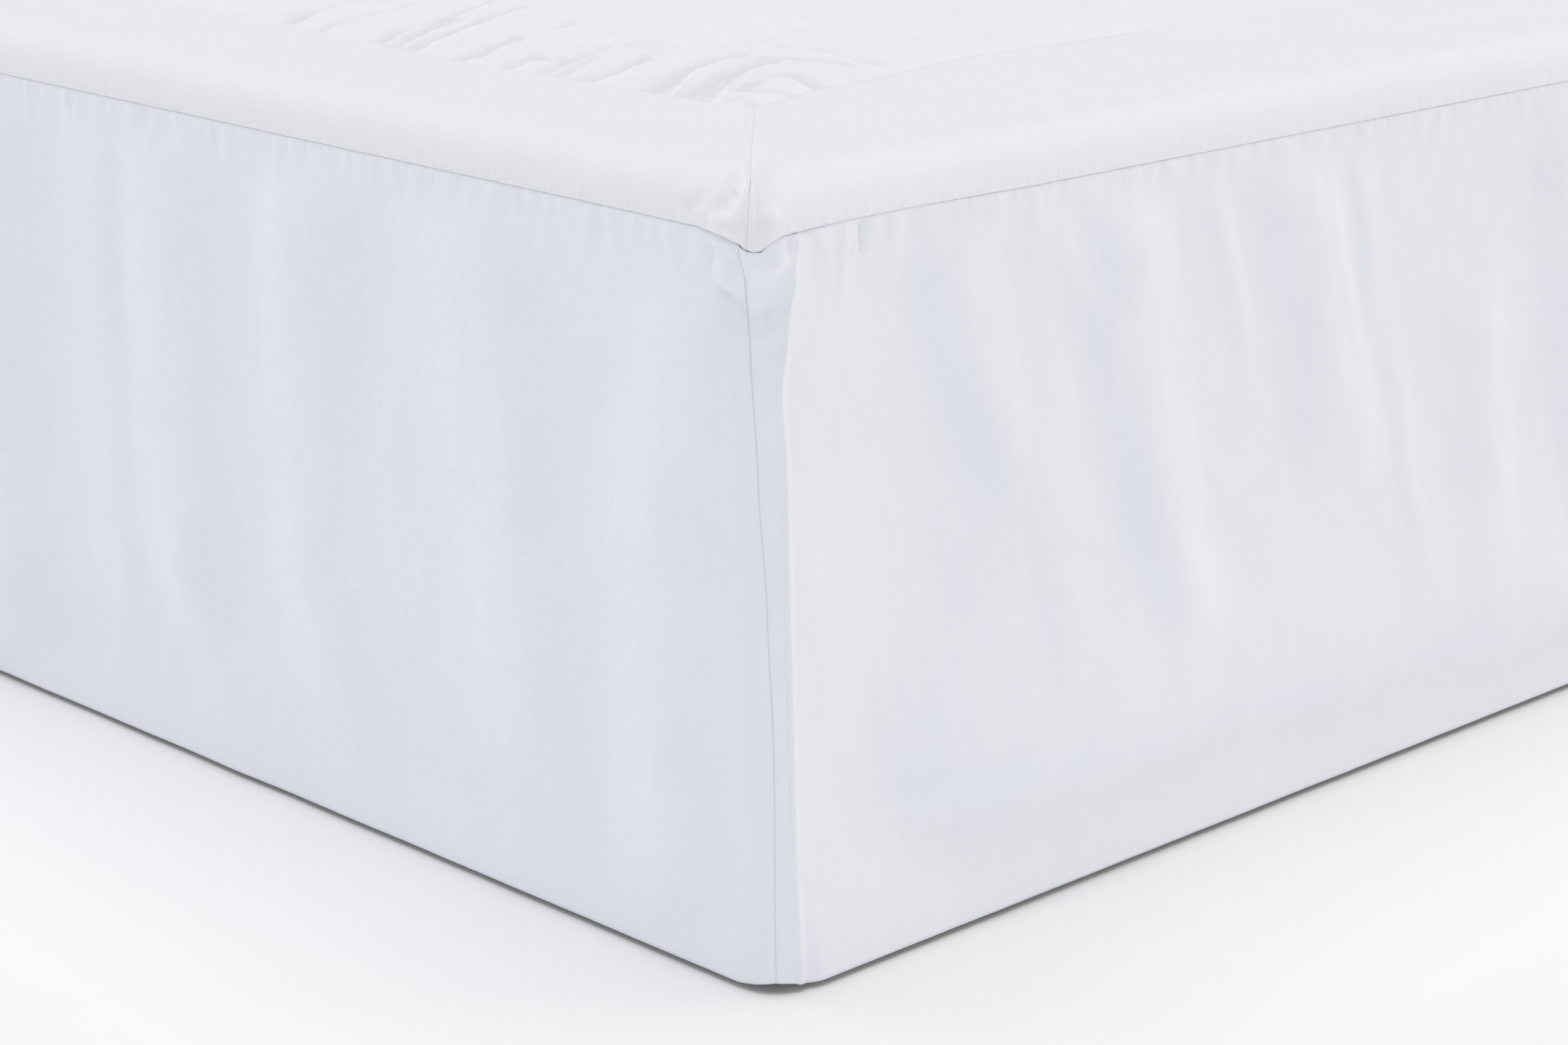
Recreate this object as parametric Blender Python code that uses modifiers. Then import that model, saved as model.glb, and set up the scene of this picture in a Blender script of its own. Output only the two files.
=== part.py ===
"""A tailored bed skirt fitted on a queen box spring, with the plain steel frame that carries the bed.

The deck lies on the box spring: a thin crinkled panel inside a smooth border band, which is mitred at the
two foot corners, rolls over the box spring's edge and ends at the drop's seam. Three flat drops hang from
that seam. A side drop wraps the foot corner as far as the vertical corner seam. The head end is open.

Metres, +Z up, +Y towards the head. The origin is the middle of the footprint, on the floor.
"""

import math
import random
from typing import NamedTuple

import bmesh
import bpy

# The bed's footprint, and the drop from the seam to the hem
BED_WIDTH = 1.524
BED_LENGTH = 2.032
DROP = 0.356
HEM_HEIGHT = 0.003

# The cloth, and how far its middle surface hangs outside the box spring's sides
DROP_CLOTH = 0.0015
BORDER_CLOTH = 0.0012
DECK_CLOTH = 0.0010
CLOTH_OFFSET = 0.0034
GAP = 0.0003
LAP = 0.008

# The rolled edge of the border, the plan corner, and the pinch of the seam there
ROLL_RADIUS = 0.024
CORNER_RADIUS = 0.029
SEAM_BELOW_TOP = 0.027
CORNER_DIP = 0.007
CORNER_DIP_REACH = 0.034
CORNER_SEAM_TURN = 55
MITRE_TURN = 45
SIDE_TURNS = (0, 11.25, 22.5, 33.75, MITRE_TURN, CORNER_SEAM_TURN)
FOOT_TURNS = (0, 11.25, 22.5, 90 - CORNER_SEAM_TURN, MITRE_TURN)
DIP_RUN = 0.014

# The side drops hang outwards, more so towards the hem, with one long low crease
SIDE_FLARE = 0.0156
CREASE_DEPTH = 0.0022
CREASE_REACH = 0.055
CREASE_HEIGHTS = ((0.0, 0.096), (0.20, 0.088), (0.40, 0.078), (0.62, 0.068), (0.90, 0.080))
CREASE_START = 0.060

# How gently a fold starts under the seam and dies away towards the hem, and where unseen folds begin
FOLD_START = 0.045
FOLD_END = 0.090
HIDDEN_SIDE_FOLDS = 0.68
HIDDEN_FOOT_FOLDS = 0.66
FOLD_MARGIN = 0.060

# The box spring and the frame under it
BOX_HEIGHT = 0.203
BOX_CORNER_RADIUS = 0.026
BOX_EDGE_RADIUS = 0.024
RAIL_WIDTH = 0.040
RAIL_HEIGHT = 0.038
RAIL_X = 0.700
CROSS_RAIL_Y = {"foot": -0.900, "middle": 0.0, "head": 0.900}
RAIL_OVERHANG = 0.050
RAIL_EDGE = 0.004
LEG_RADIUS = 0.016
PAD_RADIUS = 0.022
PAD_HEIGHT = 0.012
PAD_CHAMFER = 0.002

# Width of the border band at distances along it from the corner of the two faces
FOOT_BAND = ((0.132, 0.125), (0.163, 0.118), (0.221, 0.115), (0.342, 0.108), (0.506, 0.121), (0.70, 0.118))
SIDE_BAND = ((0.125, 0.132), (0.202, 0.149), (0.333, 0.166), (0.394, 0.163), (0.60, 0.160))
LEFT_BAND = ((0.118, 0.142), (0.80, 0.150), (1.60, 0.145))

# Derived heights and reaches
SEAM_HEIGHT = HEM_HEIGHT + DROP
DECK_TOP = SEAM_HEIGHT + SEAM_BELOW_TOP
BORDER_MIDDLE = DECK_TOP - BORDER_CLOTH / 2
BOX_TOP = DECK_TOP - BORDER_CLOTH - DECK_CLOTH - 2 * GAP
DECK_MIDDLE = BOX_TOP + GAP + DECK_CLOTH / 2
BOX_BOTTOM = BOX_TOP - BOX_HEIGHT
RAIL_TOP = BOX_BOTTOM - GAP
RAIL_BOTTOM = RAIL_TOP - RAIL_HEIGHT
HALF_X = BED_WIDTH / 2 + CLOTH_OFFSET
HALF_Y = BED_LENGTH / 2 + CLOTH_OFFSET
HEAD_Y = BED_LENGTH / 2 - BOX_CORNER_RADIUS
FACE_LENGTH = HEAD_Y + HALF_Y
FACE_WIDTH = 2 * HALF_X
SIDE_STRAIGHT = FACE_LENGTH - CORNER_RADIUS
FOOT_STRAIGHT = FACE_WIDTH - 2 * CORNER_RADIUS

# Spacing of the cloth's facets: fine where the folds are known, coarse further on
FINE_STEP = 0.018
COARSE_STEP = 0.034
DETAILED_STRETCH = 0.62
BORDER_STEP = 0.085
DECK_FINE_STEP = 0.026
DECK_COARSE_STEP = 0.095
DECK_FINE_STRETCH = (0.42, 0.36)
DECK_EDGE = (LAP + 0.002, LAP + 0.012, LAP + 0.024)
HEIGHT_ROWS = (0.0, 0.030, 0.060, 0.090, 0.125, 0.170, 0.220, 0.270, 0.315, 0.342, 0.356)
BORDER_ROWS = (0.0, 0.5, 1.0, 1.25, 1.5, 1.75, 2.0, 3.0)


class Finish(NamedTuple):
    """A plain colour with its roughness and metallic value."""

    color: tuple
    roughness: float
    metallic: float


WHITE_COTTON = Finish((0.86, 0.87, 0.89), 0.85, 0.0)
TICKING = Finish((0.80, 0.80, 0.79), 0.80, 0.0)
GREY_STEEL = Finish((0.16, 0.17, 0.18), 0.45, 0.6)
BLACK_RUBBER = Finish((0.05, 0.05, 0.05), 0.70, 0.0)


class Fold(NamedTuple):
    """A soft ridge: where its crest runs, as (from corner, above hem) points, its height and its reach."""

    top: tuple
    middle: tuple
    low: tuple
    proud: float
    near: float
    far: float


SIDE_FOLDS = (
    Fold((0.080, 0.350), (0.090, 0.300), (0.125, 0.170), 0.0042, 0.050, 0.034),
    Fold((0.155, 0.350), (0.172, 0.299), (0.190, 0.235), 0.0030, 0.026, 0.028),
    Fold((0.225, 0.285), (0.232, 0.230), (0.236, 0.150), 0.0036, 0.028, 0.026),
    Fold((0.290, 0.347), (0.300, 0.290), (0.328, 0.140), 0.0048, 0.028, 0.030),
    Fold((0.350, 0.320), (0.358, 0.270), (0.368, 0.200), 0.0026, 0.024, 0.026),
    Fold((0.407, 0.340), (0.425, 0.264), (0.462, 0.180), 0.0044, 0.032, 0.032),
    Fold((0.486, 0.290), (0.490, 0.234), (0.507, 0.150), 0.0034, 0.026, 0.034),
    Fold((0.575, 0.300), (0.582, 0.219), (0.602, 0.110), 0.0044, 0.034, 0.040),
)
FOOT_FOLDS = (
    Fold((0.030, 0.300), (0.028, 0.180), (0.026, 0.040), 0.0026, 0.020, 0.048),
    Fold((0.118, 0.330), (0.112, 0.250), (0.102, 0.100), 0.0040, 0.056, 0.048),
    Fold((0.262, 0.340), (0.266, 0.230), (0.262, 0.070), 0.0046, 0.066, 0.044),
    Fold((0.384, 0.335), (0.378, 0.224), (0.371, 0.120), 0.0052, 0.040, 0.036),
    Fold((0.500, 0.345), (0.503, 0.220), (0.500, 0.080), 0.0048, 0.046, 0.028),
    Fold((0.556, 0.340), (0.556, 0.220), (0.560, 0.100), 0.0042, 0.030, 0.044),
)


class Crinkle(NamedTuple):
    """A crease of the deck panel: its route as (from side, from foot) points, and its height and reach."""

    route: tuple
    height: float
    reach: float


DECK_CRINKLES = (
    Crinkle(((0.506, 0.135), (0.533, 0.192)), 0.0022, 0.024),
    Crinkle(((0.420, 0.135), (0.458, 0.248)), 0.0028, 0.026),
    Crinkle(((0.372, 0.125), (0.377, 0.158)), 0.0020, 0.022),
    Crinkle(((0.305, 0.128), (0.287, 0.195)), 0.0026, 0.024),
    Crinkle(((0.248, 0.130), (0.266, 0.231)), 0.0028, 0.024),
    Crinkle(((0.184, 0.140), (0.194, 0.177), (0.175, 0.203)), 0.0034, 0.024),
    Crinkle(((0.219, 0.148), (0.249, 0.226), (0.235, 0.255), (0.184, 0.242)), 0.0032, 0.026),
    Crinkle(((0.273, 0.198), (0.291, 0.267), (0.276, 0.378), (0.254, 0.469)), 0.0034, 0.028),
    Crinkle(((0.240, 0.308), (0.235, 0.409), (0.219, 0.459)), 0.0026, 0.026),
)


def smooth(value):
    """Ease from 0 to 1 while the value runs from 0 to 1."""
    value = min(1.0, max(0.0, value))
    return value * value * (3 - 2 * value)


def bump(distance, reach):
    """A rounded hump, 1 at distance 0 and 0 from the reach on."""
    if abs(distance) >= reach:
        return 0.0
    return 0.5 + 0.5 * math.cos(math.pi * distance / reach)


def along(table, place):
    """The value at a place in a table of (place, value) rows, eased from one row to the next."""
    if place <= table[0][0]:
        return table[0][1]
    for (start, first), (end, second) in zip(table, table[1:]):
        if place <= end:
            return first + (second - first) * smooth((place - start) / (end - start))
    return table[-1][1]


def spaced(start, end, step):
    """Even places from start to end, about a step apart."""
    count = max(1, round((end - start) / step))
    return [start + (end - start) * i / count for i in range(count + 1)]


def joined(*stretches):
    """Stretches of places as one list, without the places that they share."""
    places = list(stretches[0])
    for stretch in stretches[1:]:
        places += stretch[1:]
    return places


def arc_length(degrees):
    """The length of the corner's arc over an angle."""
    return CORNER_RADIUS * math.radians(degrees)


def corner_runs(turns, last):
    """Runs along the corner's arc up to its last angle, from the face's straight stretch outwards."""
    return [arc_length(turn) for turn in turns if turn < last] + [arc_length(last) - GAP / 2]


def hidden_folds(first, last, seed):
    """Uneven soft folds from first to last along a drop, like those in the detailed stretch."""
    draw = random.Random(seed)
    folds = []
    place = first
    while place < last:
        lean = draw.uniform(-0.010, 0.030)
        top = draw.uniform(0.290, 0.345)
        low = draw.uniform(0.080, 0.170)
        folds.append(
            Fold(
                (place, top),
                (place + lean * 0.4, (top + low) / 2),
                (place + lean, low),
                draw.uniform(0.0025, 0.0050),
                draw.uniform(0.042, 0.056),
                draw.uniform(0.042, 0.056),
            )
        )
        place += draw.uniform(0.085, 0.135)
    return folds


def crest(fold, height):
    """How far along the drop a fold's crest lies at a height above the hem."""
    upper = height > fold.middle[1]
    (a, z_a), (b, z_b) = (fold.middle, fold.top) if upper else (fold.low, fold.middle)
    return a + (b - a) * (height - z_a) / (z_b - z_a)


def fold_depth(folds, place, height):
    """How far the folds stand out of a drop, at a place along it and a height above its hem."""
    depth = 0.0
    for fold in folds:
        offset = place - crest(fold, height)
        across = bump(offset, fold.near if offset < 0 else fold.far)
        start = smooth((min(DROP, fold.top[1] + FOLD_START) - height) / FOLD_START)
        end = smooth((height - fold.low[1] + FOLD_END) / FOLD_END)
        depth = max(depth, fold.proud * across * start * end)
    return depth


def flare(height):
    """How far a side drop hangs outwards at a height above the hem."""
    return SIDE_FLARE * (1 - height / DROP)


def crease(place, height):
    """The long low crease of a side drop, a hump with the cloth falling back under it."""
    grows = smooth((place - CORNER_RADIUS) / CREASE_START)
    return CREASE_DEPTH * grows * bump(height - along(CREASE_HEIGHTS, place), CREASE_REACH)


def face_point(run, straight):
    """A face's plan point as (along, out) and its normal, at a run from the start of its straight stretch."""
    turn = max(-run, run - straight, 0.0) / CORNER_RADIUS
    sign = -1 if run < 0 else 1
    tangent = CORNER_RADIUS + min(max(run, 0.0), straight)
    place = tangent + sign * CORNER_RADIUS * math.sin(turn)
    out = -CORNER_RADIUS * (1 - math.cos(turn))
    return place, out, sign * math.sin(turn), math.cos(turn)


def seam_height(run, straight):
    """The height of the seam between border and drop, which dips where it turns a foot corner."""
    middle = arc_length(MITRE_TURN)
    nearest = min(abs(run + middle), abs(run - straight - middle))
    return SEAM_HEIGHT - CORNER_DIP * bump(nearest, CORNER_DIP_REACH)


def on_foot(place, out):
    """World plan point of the foot face. Places run from the right corner."""
    return HALF_X - place, -HALF_Y - out


def on_right(place, out):
    """World plan point of the right face. Places run from the foot."""
    return HALF_X + out, -HALF_Y + place


def on_left(place, out):
    """World plan point of the left face. Places run from the foot."""
    return -HALF_X - out, -HALF_Y + place


def make_material(name, finish):
    """A Principled material for one piece."""
    material = bpy.data.materials.new(name)
    material.use_nodes = True
    shader = material.node_tree.nodes["Principled BSDF"]
    shader.inputs["Base Color"].default_value = (*finish.color, 1.0)
    shader.inputs["Roughness"].default_value = finish.roughness
    shader.inputs["Metallic"].default_value = finish.metallic
    return material


def add_object(name, bm, finish, collection):
    """Turn a bmesh into a named object with its own material."""
    mesh = bpy.data.meshes.new(name)
    bmesh.ops.recalc_face_normals(bm, faces=bm.faces)
    bm.to_mesh(mesh)
    bm.free()
    mesh.materials.append(make_material(name, finish))
    obj = bpy.data.objects.new(name, mesh)
    collection.objects.link(obj)
    return obj


def make_sheet(name, columns, rows, place, cloth, collection):
    """A cloth: a flat grid shaped by place(column, row), with its thickness put on by Solidify."""
    bm = bmesh.new()
    bmesh.ops.create_grid(bm, x_segments=len(columns) - 1, y_segments=len(rows) - 1, size=0.5)
    for vertex in bm.verts:
        column = columns[round((vertex.co.x + 0.5) * (len(columns) - 1))]
        row = rows[round((vertex.co.y + 0.5) * (len(rows) - 1))]
        vertex.co = place(column, row)
    obj = add_object(name, bm, WHITE_COTTON, collection)
    obj.data.shade_smooth()
    solidify = obj.modifiers.new("cloth", "SOLIDIFY")
    solidify.thickness = cloth
    solidify.offset = 0.0
    solidify.use_even_offset = True
    return obj


def make_rounded_box(name, low, high, radius, segments, finish, collection, corner_radius=0.0):
    """A box between two corners with bevelled edges, and optionally wider vertical ones."""
    bm = bmesh.new()
    bmesh.ops.create_cube(bm, size=1.0)
    for vertex in bm.verts:
        vertex.co = [a + (b - a) * (c + 0.5) for a, b, c in zip(low, high, vertex.co)]
    if corner_radius:
        upright = [e for e in bm.edges if abs(e.verts[0].co.z - e.verts[1].co.z) > 1e-6]
        bmesh.ops.bevel(bm, geom=upright, offset=corner_radius, segments=6, profile=0.5, affect="EDGES")
    obj = add_object(name, bm, finish, collection)
    bevel = obj.modifiers.new("edges", "BEVEL")
    bevel.width = radius
    bevel.segments = segments
    bevel.limit_method = "ANGLE"
    bevel.angle_limit = math.radians(60)
    return obj


def make_post(name, centre, heights, radius, chamfer, finish, collection):
    """A round upright post or pad between two heights, with its rims chamfered."""
    bottom, top = heights
    bm = bmesh.new()
    bmesh.ops.create_cone(
        bm, cap_ends=True, segments=20, radius1=radius, radius2=radius, depth=top - bottom
    )
    obj = add_object(name, bm, finish, collection)
    obj.location = (*centre, (top + bottom) / 2)
    if chamfer:
        bevel = obj.modifiers.new("rim", "BEVEL")
        bevel.width = chamfer
        bevel.segments = 1
        bevel.limit_method = "ANGLE"
        bevel.angle_limit = math.radians(60)
    return obj


def make_side_drop(name, on_face, folds, collection):
    """A side drop, from the vertical corner seam round the foot corner and along the bed to its head."""

    def place(run, height):
        around, out, along_normal, out_normal = face_point(run, math.inf)
        depth = fold_depth(folds, around, height) + crease(around, height)
        share = height / DROP
        z = HEM_HEIGHT + share * (seam_height(run, math.inf) - HEM_HEIGHT - GAP)
        hang = out + flare(height) + depth * out_normal
        return (*on_face(around + depth * along_normal, hang), z)

    first_step = FINE_STEP if on_face is on_right else COARSE_STEP
    columns = joined(
        [-run for run in reversed(corner_runs(SIDE_TURNS, CORNER_SEAM_TURN))],
        spaced(0.0, DIP_RUN, DIP_RUN / 2),
        spaced(DIP_RUN, DETAILED_STRETCH, first_step),
        spaced(DETAILED_STRETCH, SIDE_STRAIGHT, COARSE_STEP),
    )
    return make_sheet(name, columns, HEIGHT_ROWS, place, DROP_CLOTH, collection)


def make_foot_drop(collection):
    """The foot drop, from one vertical corner seam to the other."""
    corner = corner_runs(FOOT_TURNS, 90 - CORNER_SEAM_TURN)
    folds = (*FOOT_FOLDS, *hidden_folds(HIDDEN_FOOT_FOLDS, FACE_WIDTH - FOLD_MARGIN, seed=11))

    def place(run, height):
        spread = 1 + 2 * flare(height) / FOOT_STRAIGHT
        inside = min(max(run, 0.0), FOOT_STRAIGHT)
        around, out, along_normal, out_normal = face_point(run, FOOT_STRAIGHT)
        around += (spread - 1) * inside - flare(height)
        depth = fold_depth(folds, around, height)
        share = height / DROP
        z = HEM_HEIGHT + share * (seam_height(run, FOOT_STRAIGHT) - HEM_HEIGHT - GAP)
        return (*on_foot(around + depth * along_normal, out + depth * out_normal), z)

    columns = joined(
        [-run for run in reversed(corner)],
        spaced(0.0, DIP_RUN, DIP_RUN / 2),
        spaced(DIP_RUN, DETAILED_STRETCH, FINE_STEP),
        spaced(DETAILED_STRETCH, FOOT_STRAIGHT - DIP_RUN, COARSE_STEP),
        spaced(FOOT_STRAIGHT - DIP_RUN, FOOT_STRAIGHT, DIP_RUN / 2),
        [FOOT_STRAIGHT + run for run in corner],
    )
    return make_sheet("drop_foot", columns, HEIGHT_ROWS, place, DROP_CLOTH, collection)


def rolled_point(run, row, straight, inner):
    """A border's point as (along, out, z). Rows to 1 are flat, to 2 roll over the edge, to 3 fall to the seam."""
    around, out, along_normal, out_normal = face_point(run, straight)
    around -= ROLL_RADIUS * along_normal
    out -= ROLL_RADIUS * out_normal
    flat = min(row, 1.0)
    roll = math.radians(90) * min(max(row - 1.0, 0.0), 1.0)
    fall = max(row - 2.0, 0.0)
    reach = ROLL_RADIUS * math.sin(roll)
    bottom = BORDER_MIDDLE - ROLL_RADIUS * (1 - math.cos(roll))
    z = bottom + fall * (seam_height(run, straight) - bottom)
    around = inner[0] + (around - inner[0]) * flat + reach * along_normal
    out = inner[1] + (out - inner[1]) * flat + reach * out_normal
    return around, out, z


def make_border(name, on_face, columns, straight, band, inner_ends, collection):
    """A border band. Its inner edge keeps the band's width, with the columns spread evenly along it."""
    first, last = inner_ends
    start, end = columns[0], columns[-1]

    def place(run, row):
        inner = first + (last - first) * (run - start) / (end - start)
        around, out, z = rolled_point(run, row, straight, (inner, -along(band, inner)))
        return (*on_face(around, out), z)

    return make_sheet(name, columns, BORDER_ROWS, place, BORDER_CLOTH, collection)


def make_borders(collection):
    """The foot border and the two side borders, which meet in mitres at the foot corners."""
    side_corner = [-run for run in reversed(corner_runs(SIDE_TURNS, MITRE_TURN))]
    foot_corner = corner_runs(FOOT_TURNS, MITRE_TURN)
    side_columns = joined(
        side_corner,
        spaced(0.0, DIP_RUN, DIP_RUN / 2),
        spaced(DIP_RUN, SIDE_STRAIGHT, BORDER_STEP),
    )
    foot_columns = joined(
        [-run for run in reversed(foot_corner)],
        spaced(0.0, DIP_RUN, DIP_RUN / 2),
        spaced(DIP_RUN, FOOT_STRAIGHT - DIP_RUN, BORDER_STEP),
        spaced(FOOT_STRAIGHT - DIP_RUN, FOOT_STRAIGHT, DIP_RUN / 2),
        [FOOT_STRAIGHT + run for run in foot_corner],
    )
    foot_ends = (SIDE_BAND[0][1] + GAP / 2, FACE_WIDTH - LEFT_BAND[0][1] - GAP / 2)
    make_border("border_foot", on_foot, foot_columns, FOOT_STRAIGHT, FOOT_BAND, foot_ends, collection)
    for name, on_face, band in (("border_right", on_right, SIDE_BAND), ("border_left", on_left, LEFT_BAND)):
        side_ends = (band[0][0] + GAP / 2, FACE_LENGTH)
        make_border(name, on_face, side_columns, math.inf, band, side_ends, collection)


def hidden_crinkles(seed):
    """Uneven creases over the rest of the deck, running towards the head."""
    draw = random.Random(seed)
    crinkles = []
    for column in range(3):
        for row in range(4):
            side = 0.42 + 0.34 * column + draw.uniform(-0.07, 0.07)
            foot = 0.46 + 0.38 * row + draw.uniform(-0.08, 0.08)
            if side < 0.55 and foot < 0.50:
                continue
            length = draw.uniform(0.16, 0.30)
            route = ((side, foot), (side + draw.uniform(-0.05, 0.05), foot + length))
            crinkles.append(Crinkle(route, draw.uniform(0.0022, 0.0036), 0.085))
    return crinkles


def distance_to_route(point, route):
    """The distance in plan from a point to the nearest stretch of a route."""
    nearest = math.inf
    for (ax, ay), (bx, by) in zip(route, route[1:]):
        dx, dy = bx - ax, by - ay
        share = ((point[0] - ax) * dx + (point[1] - ay) * dy) / (dx * dx + dy * dy)
        share = min(1.0, max(0.0, share))
        nearest = min(nearest, math.hypot(point[0] - ax - share * dx, point[1] - ay - share * dy))
    return nearest


def make_deck_panel(collection):
    """The thin crinkled panel, whose edges lie a lap's width under the borders."""
    crinkles = (*DECK_CRINKLES, *hidden_crinkles(seed=5))

    def place(column, row):
        side, foot = column, row
        for _ in range(4):
            right = along(SIDE_BAND, foot) - LAP
            left = FACE_WIDTH - along(LEFT_BAND, foot) + LAP
            side = right + (left - right) * column
            near = along(FOOT_BAND, side) - LAP
            foot = near + (FACE_LENGTH - near) * row
        edge = min(side - right, left - side, foot - near, FACE_LENGTH - foot)
        inside = smooth((edge - DECK_EDGE[0]) / (DECK_EDGE[2] - DECK_EDGE[0]))
        depth = 0.0
        for crinkle in crinkles:
            distance = distance_to_route((side, foot), crinkle.route)
            depth = max(depth, crinkle.height * bump(distance, crinkle.reach))
        return HALF_X - side, -HALF_Y + foot, DECK_MIDDLE + depth * inside

    width = FACE_WIDTH - SIDE_BAND[0][1] - LEFT_BAND[0][1] + 2 * LAP
    length = FACE_LENGTH - FOOT_BAND[0][1] + LAP
    fine_x, fine_y = DECK_FINE_STRETCH
    columns = joined(
        [0.0, *DECK_EDGE],
        spaced(DECK_EDGE[2], fine_x, DECK_FINE_STEP),
        spaced(fine_x, width - DECK_EDGE[2], DECK_COARSE_STEP),
        [width - DECK_EDGE[2], width - DECK_EDGE[0], width],
    )
    rows = joined(
        [0.0, *DECK_EDGE],
        spaced(DECK_EDGE[2], fine_y, DECK_FINE_STEP),
        spaced(fine_y, length, DECK_COARSE_STEP),
    )
    columns = [column / width for column in columns]
    rows = [row / length for row in rows]
    return make_sheet("deck_panel", columns, rows, place, DECK_CLOTH, collection)


def make_box_spring(collection):
    """The plain upholstered box spring."""
    half_x, half_y = BED_WIDTH / 2, BED_LENGTH / 2
    make_rounded_box(
        "box_spring",
        (-half_x, -half_y, BOX_BOTTOM),
        (half_x, half_y, BOX_TOP),
        BOX_EDGE_RADIUS,
        5,
        TICKING,
        collection,
        corner_radius=BOX_CORNER_RADIUS,
    )


def make_frame(collection):
    """Two side rails, three cross rails between them, and a leg with its pad under each crossing."""
    half = RAIL_WIDTH / 2
    end = max(CROSS_RAIL_Y.values()) + RAIL_OVERHANG
    for side, sign in (("left", -1), ("right", 1)):
        low = (sign * RAIL_X - half, -end, RAIL_BOTTOM)
        high = (sign * RAIL_X + half, end, RAIL_TOP)
        make_rounded_box(f"rail_{side}", low, high, RAIL_EDGE, 2, GREY_STEEL, collection)
    inner = RAIL_X - half - GAP
    for where, y in CROSS_RAIL_Y.items():
        low, high = (-inner, y - half, RAIL_BOTTOM), (inner, y + half, RAIL_TOP)
        make_rounded_box(f"rail_{where}", low, high, RAIL_EDGE, 2, GREY_STEEL, collection)
        for side, sign in (("left", -1), ("right", 1)):
            centre = (sign * RAIL_X, y)
            leg = (PAD_HEIGHT + GAP, RAIL_BOTTOM - GAP)
            make_post(f"leg_{where}_{side}", centre, leg, LEG_RADIUS, 0.0, GREY_STEEL, collection)
            pad = (0.0, PAD_HEIGHT)
            make_post(f"pad_{where}_{side}", centre, pad, PAD_RADIUS, PAD_CHAMFER, BLACK_RUBBER, collection)


def main():
    """Build the bed skirt and what it fits over."""
    for obj in list(bpy.data.objects):
        bpy.data.objects.remove(obj, do_unlink=True)
    collection = bpy.data.collections.new("bed_skirt")
    bpy.context.scene.collection.children.link(collection)
    make_frame(collection)
    make_box_spring(collection)
    make_deck_panel(collection)
    make_borders(collection)
    make_foot_drop(collection)
    last_fold = FACE_LENGTH - FOLD_MARGIN
    right_folds = (*SIDE_FOLDS, *hidden_folds(HIDDEN_SIDE_FOLDS, last_fold, seed=3))
    left_folds = hidden_folds(CORNER_RADIUS + FOLD_MARGIN, last_fold, seed=7)
    make_side_drop("drop_right", on_right, right_folds, collection)
    make_side_drop("drop_left", on_left, left_folds, collection)


main()
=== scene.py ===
"""Looks of a tailored white bed skirt, fitted on a queen box spring over a plain steel frame.

The deck is a thin crinkled panel inside a smooth border band. The band is mitred at the foot corners, rolls
over the box spring's edge and ends at the drop's seam. Three flat drops hang from that seam in soft uneven
folds. A side drop wraps the foot corner as far as the vertical corner seam, with its seam allowance turned
under.

Metres, +Z up, +Y towards the head. The origin is the middle of the footprint, on the floor.
"""

import logging
import math
import random
from dataclasses import dataclass
from enum import Enum
from typing import Any, NamedTuple, Sequence

import bmesh
import bpy
import numpy as np
from mathutils import Matrix, Vector

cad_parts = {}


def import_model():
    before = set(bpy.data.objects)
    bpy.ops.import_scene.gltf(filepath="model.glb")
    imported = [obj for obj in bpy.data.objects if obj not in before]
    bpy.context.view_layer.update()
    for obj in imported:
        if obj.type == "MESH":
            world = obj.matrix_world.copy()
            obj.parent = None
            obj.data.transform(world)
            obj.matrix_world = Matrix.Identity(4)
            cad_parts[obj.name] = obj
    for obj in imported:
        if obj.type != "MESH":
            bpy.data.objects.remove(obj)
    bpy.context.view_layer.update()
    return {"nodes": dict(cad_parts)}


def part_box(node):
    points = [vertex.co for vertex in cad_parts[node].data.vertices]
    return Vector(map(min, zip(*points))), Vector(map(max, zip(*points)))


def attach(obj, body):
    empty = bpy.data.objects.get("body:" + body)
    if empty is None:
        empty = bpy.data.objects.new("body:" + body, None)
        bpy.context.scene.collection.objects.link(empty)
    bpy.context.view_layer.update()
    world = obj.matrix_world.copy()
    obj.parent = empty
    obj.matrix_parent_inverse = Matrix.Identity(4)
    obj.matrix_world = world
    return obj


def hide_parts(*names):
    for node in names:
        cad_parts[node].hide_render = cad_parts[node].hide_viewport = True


log = logging.getLogger("bed_skirt")

Array = np.ndarray
Place = tuple[float, float]
Span = tuple[float, float]
Table = Sequence[tuple[float, float]]
Steps = Sequence[tuple[float, float, float]]
Colour = tuple[float, float, float]
Socket = bpy.types.NodeSocket

BODY = "root"
CLOTH_MAP = "ClothMetres"
# Name of the point attribute that carries the painted shade in the deck's tucks
PAINTED_CREASE_SHADE = "painted_crease_shade"
ROOT_TWO = math.sqrt(2.0)
# Between cloths at the top seam, and at the mitres and the vertical corner seams
GAP = 0.0003
FINE_GAP = 0.0001


# Shaping helpers


def ease(value: Array) -> Array:
    """Return a value that eases from 0 to 1 while the given one runs from 0 to 1."""
    value = np.clip(value, 0.0, 1.0)
    return value * value * (3 - 2 * value)


def hump(distance: Array, reach: Array) -> Array:
    """Return a rounded hump, 1 at distance 0 and 0 from the reach on."""
    return 0.5 + 0.5 * np.cos(math.pi * np.clip(np.abs(distance) / reach, 0.0, 1.0))


def mixed(first: Array, second: Array, share: Array) -> Array:
    """Return the value that lies a share of the way from the first to the second."""
    return first + (second - first) * share


def along(table: Table, place: Array) -> Array:
    """Read a table of rows, eased from one row to the next.

    Args:
        table: Rows of a place and its value, in rising order.
        place: The places to read the table at.

    Returns:
        The value at each place.
    """
    places, values = np.array(table).T
    row = np.clip(np.searchsorted(places, place, side="right") - 1, 0, len(places) - 2)
    share = ease((place - places[row]) / (places[row + 1] - places[row]))
    return mixed(values[row], values[row + 1], share)


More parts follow.
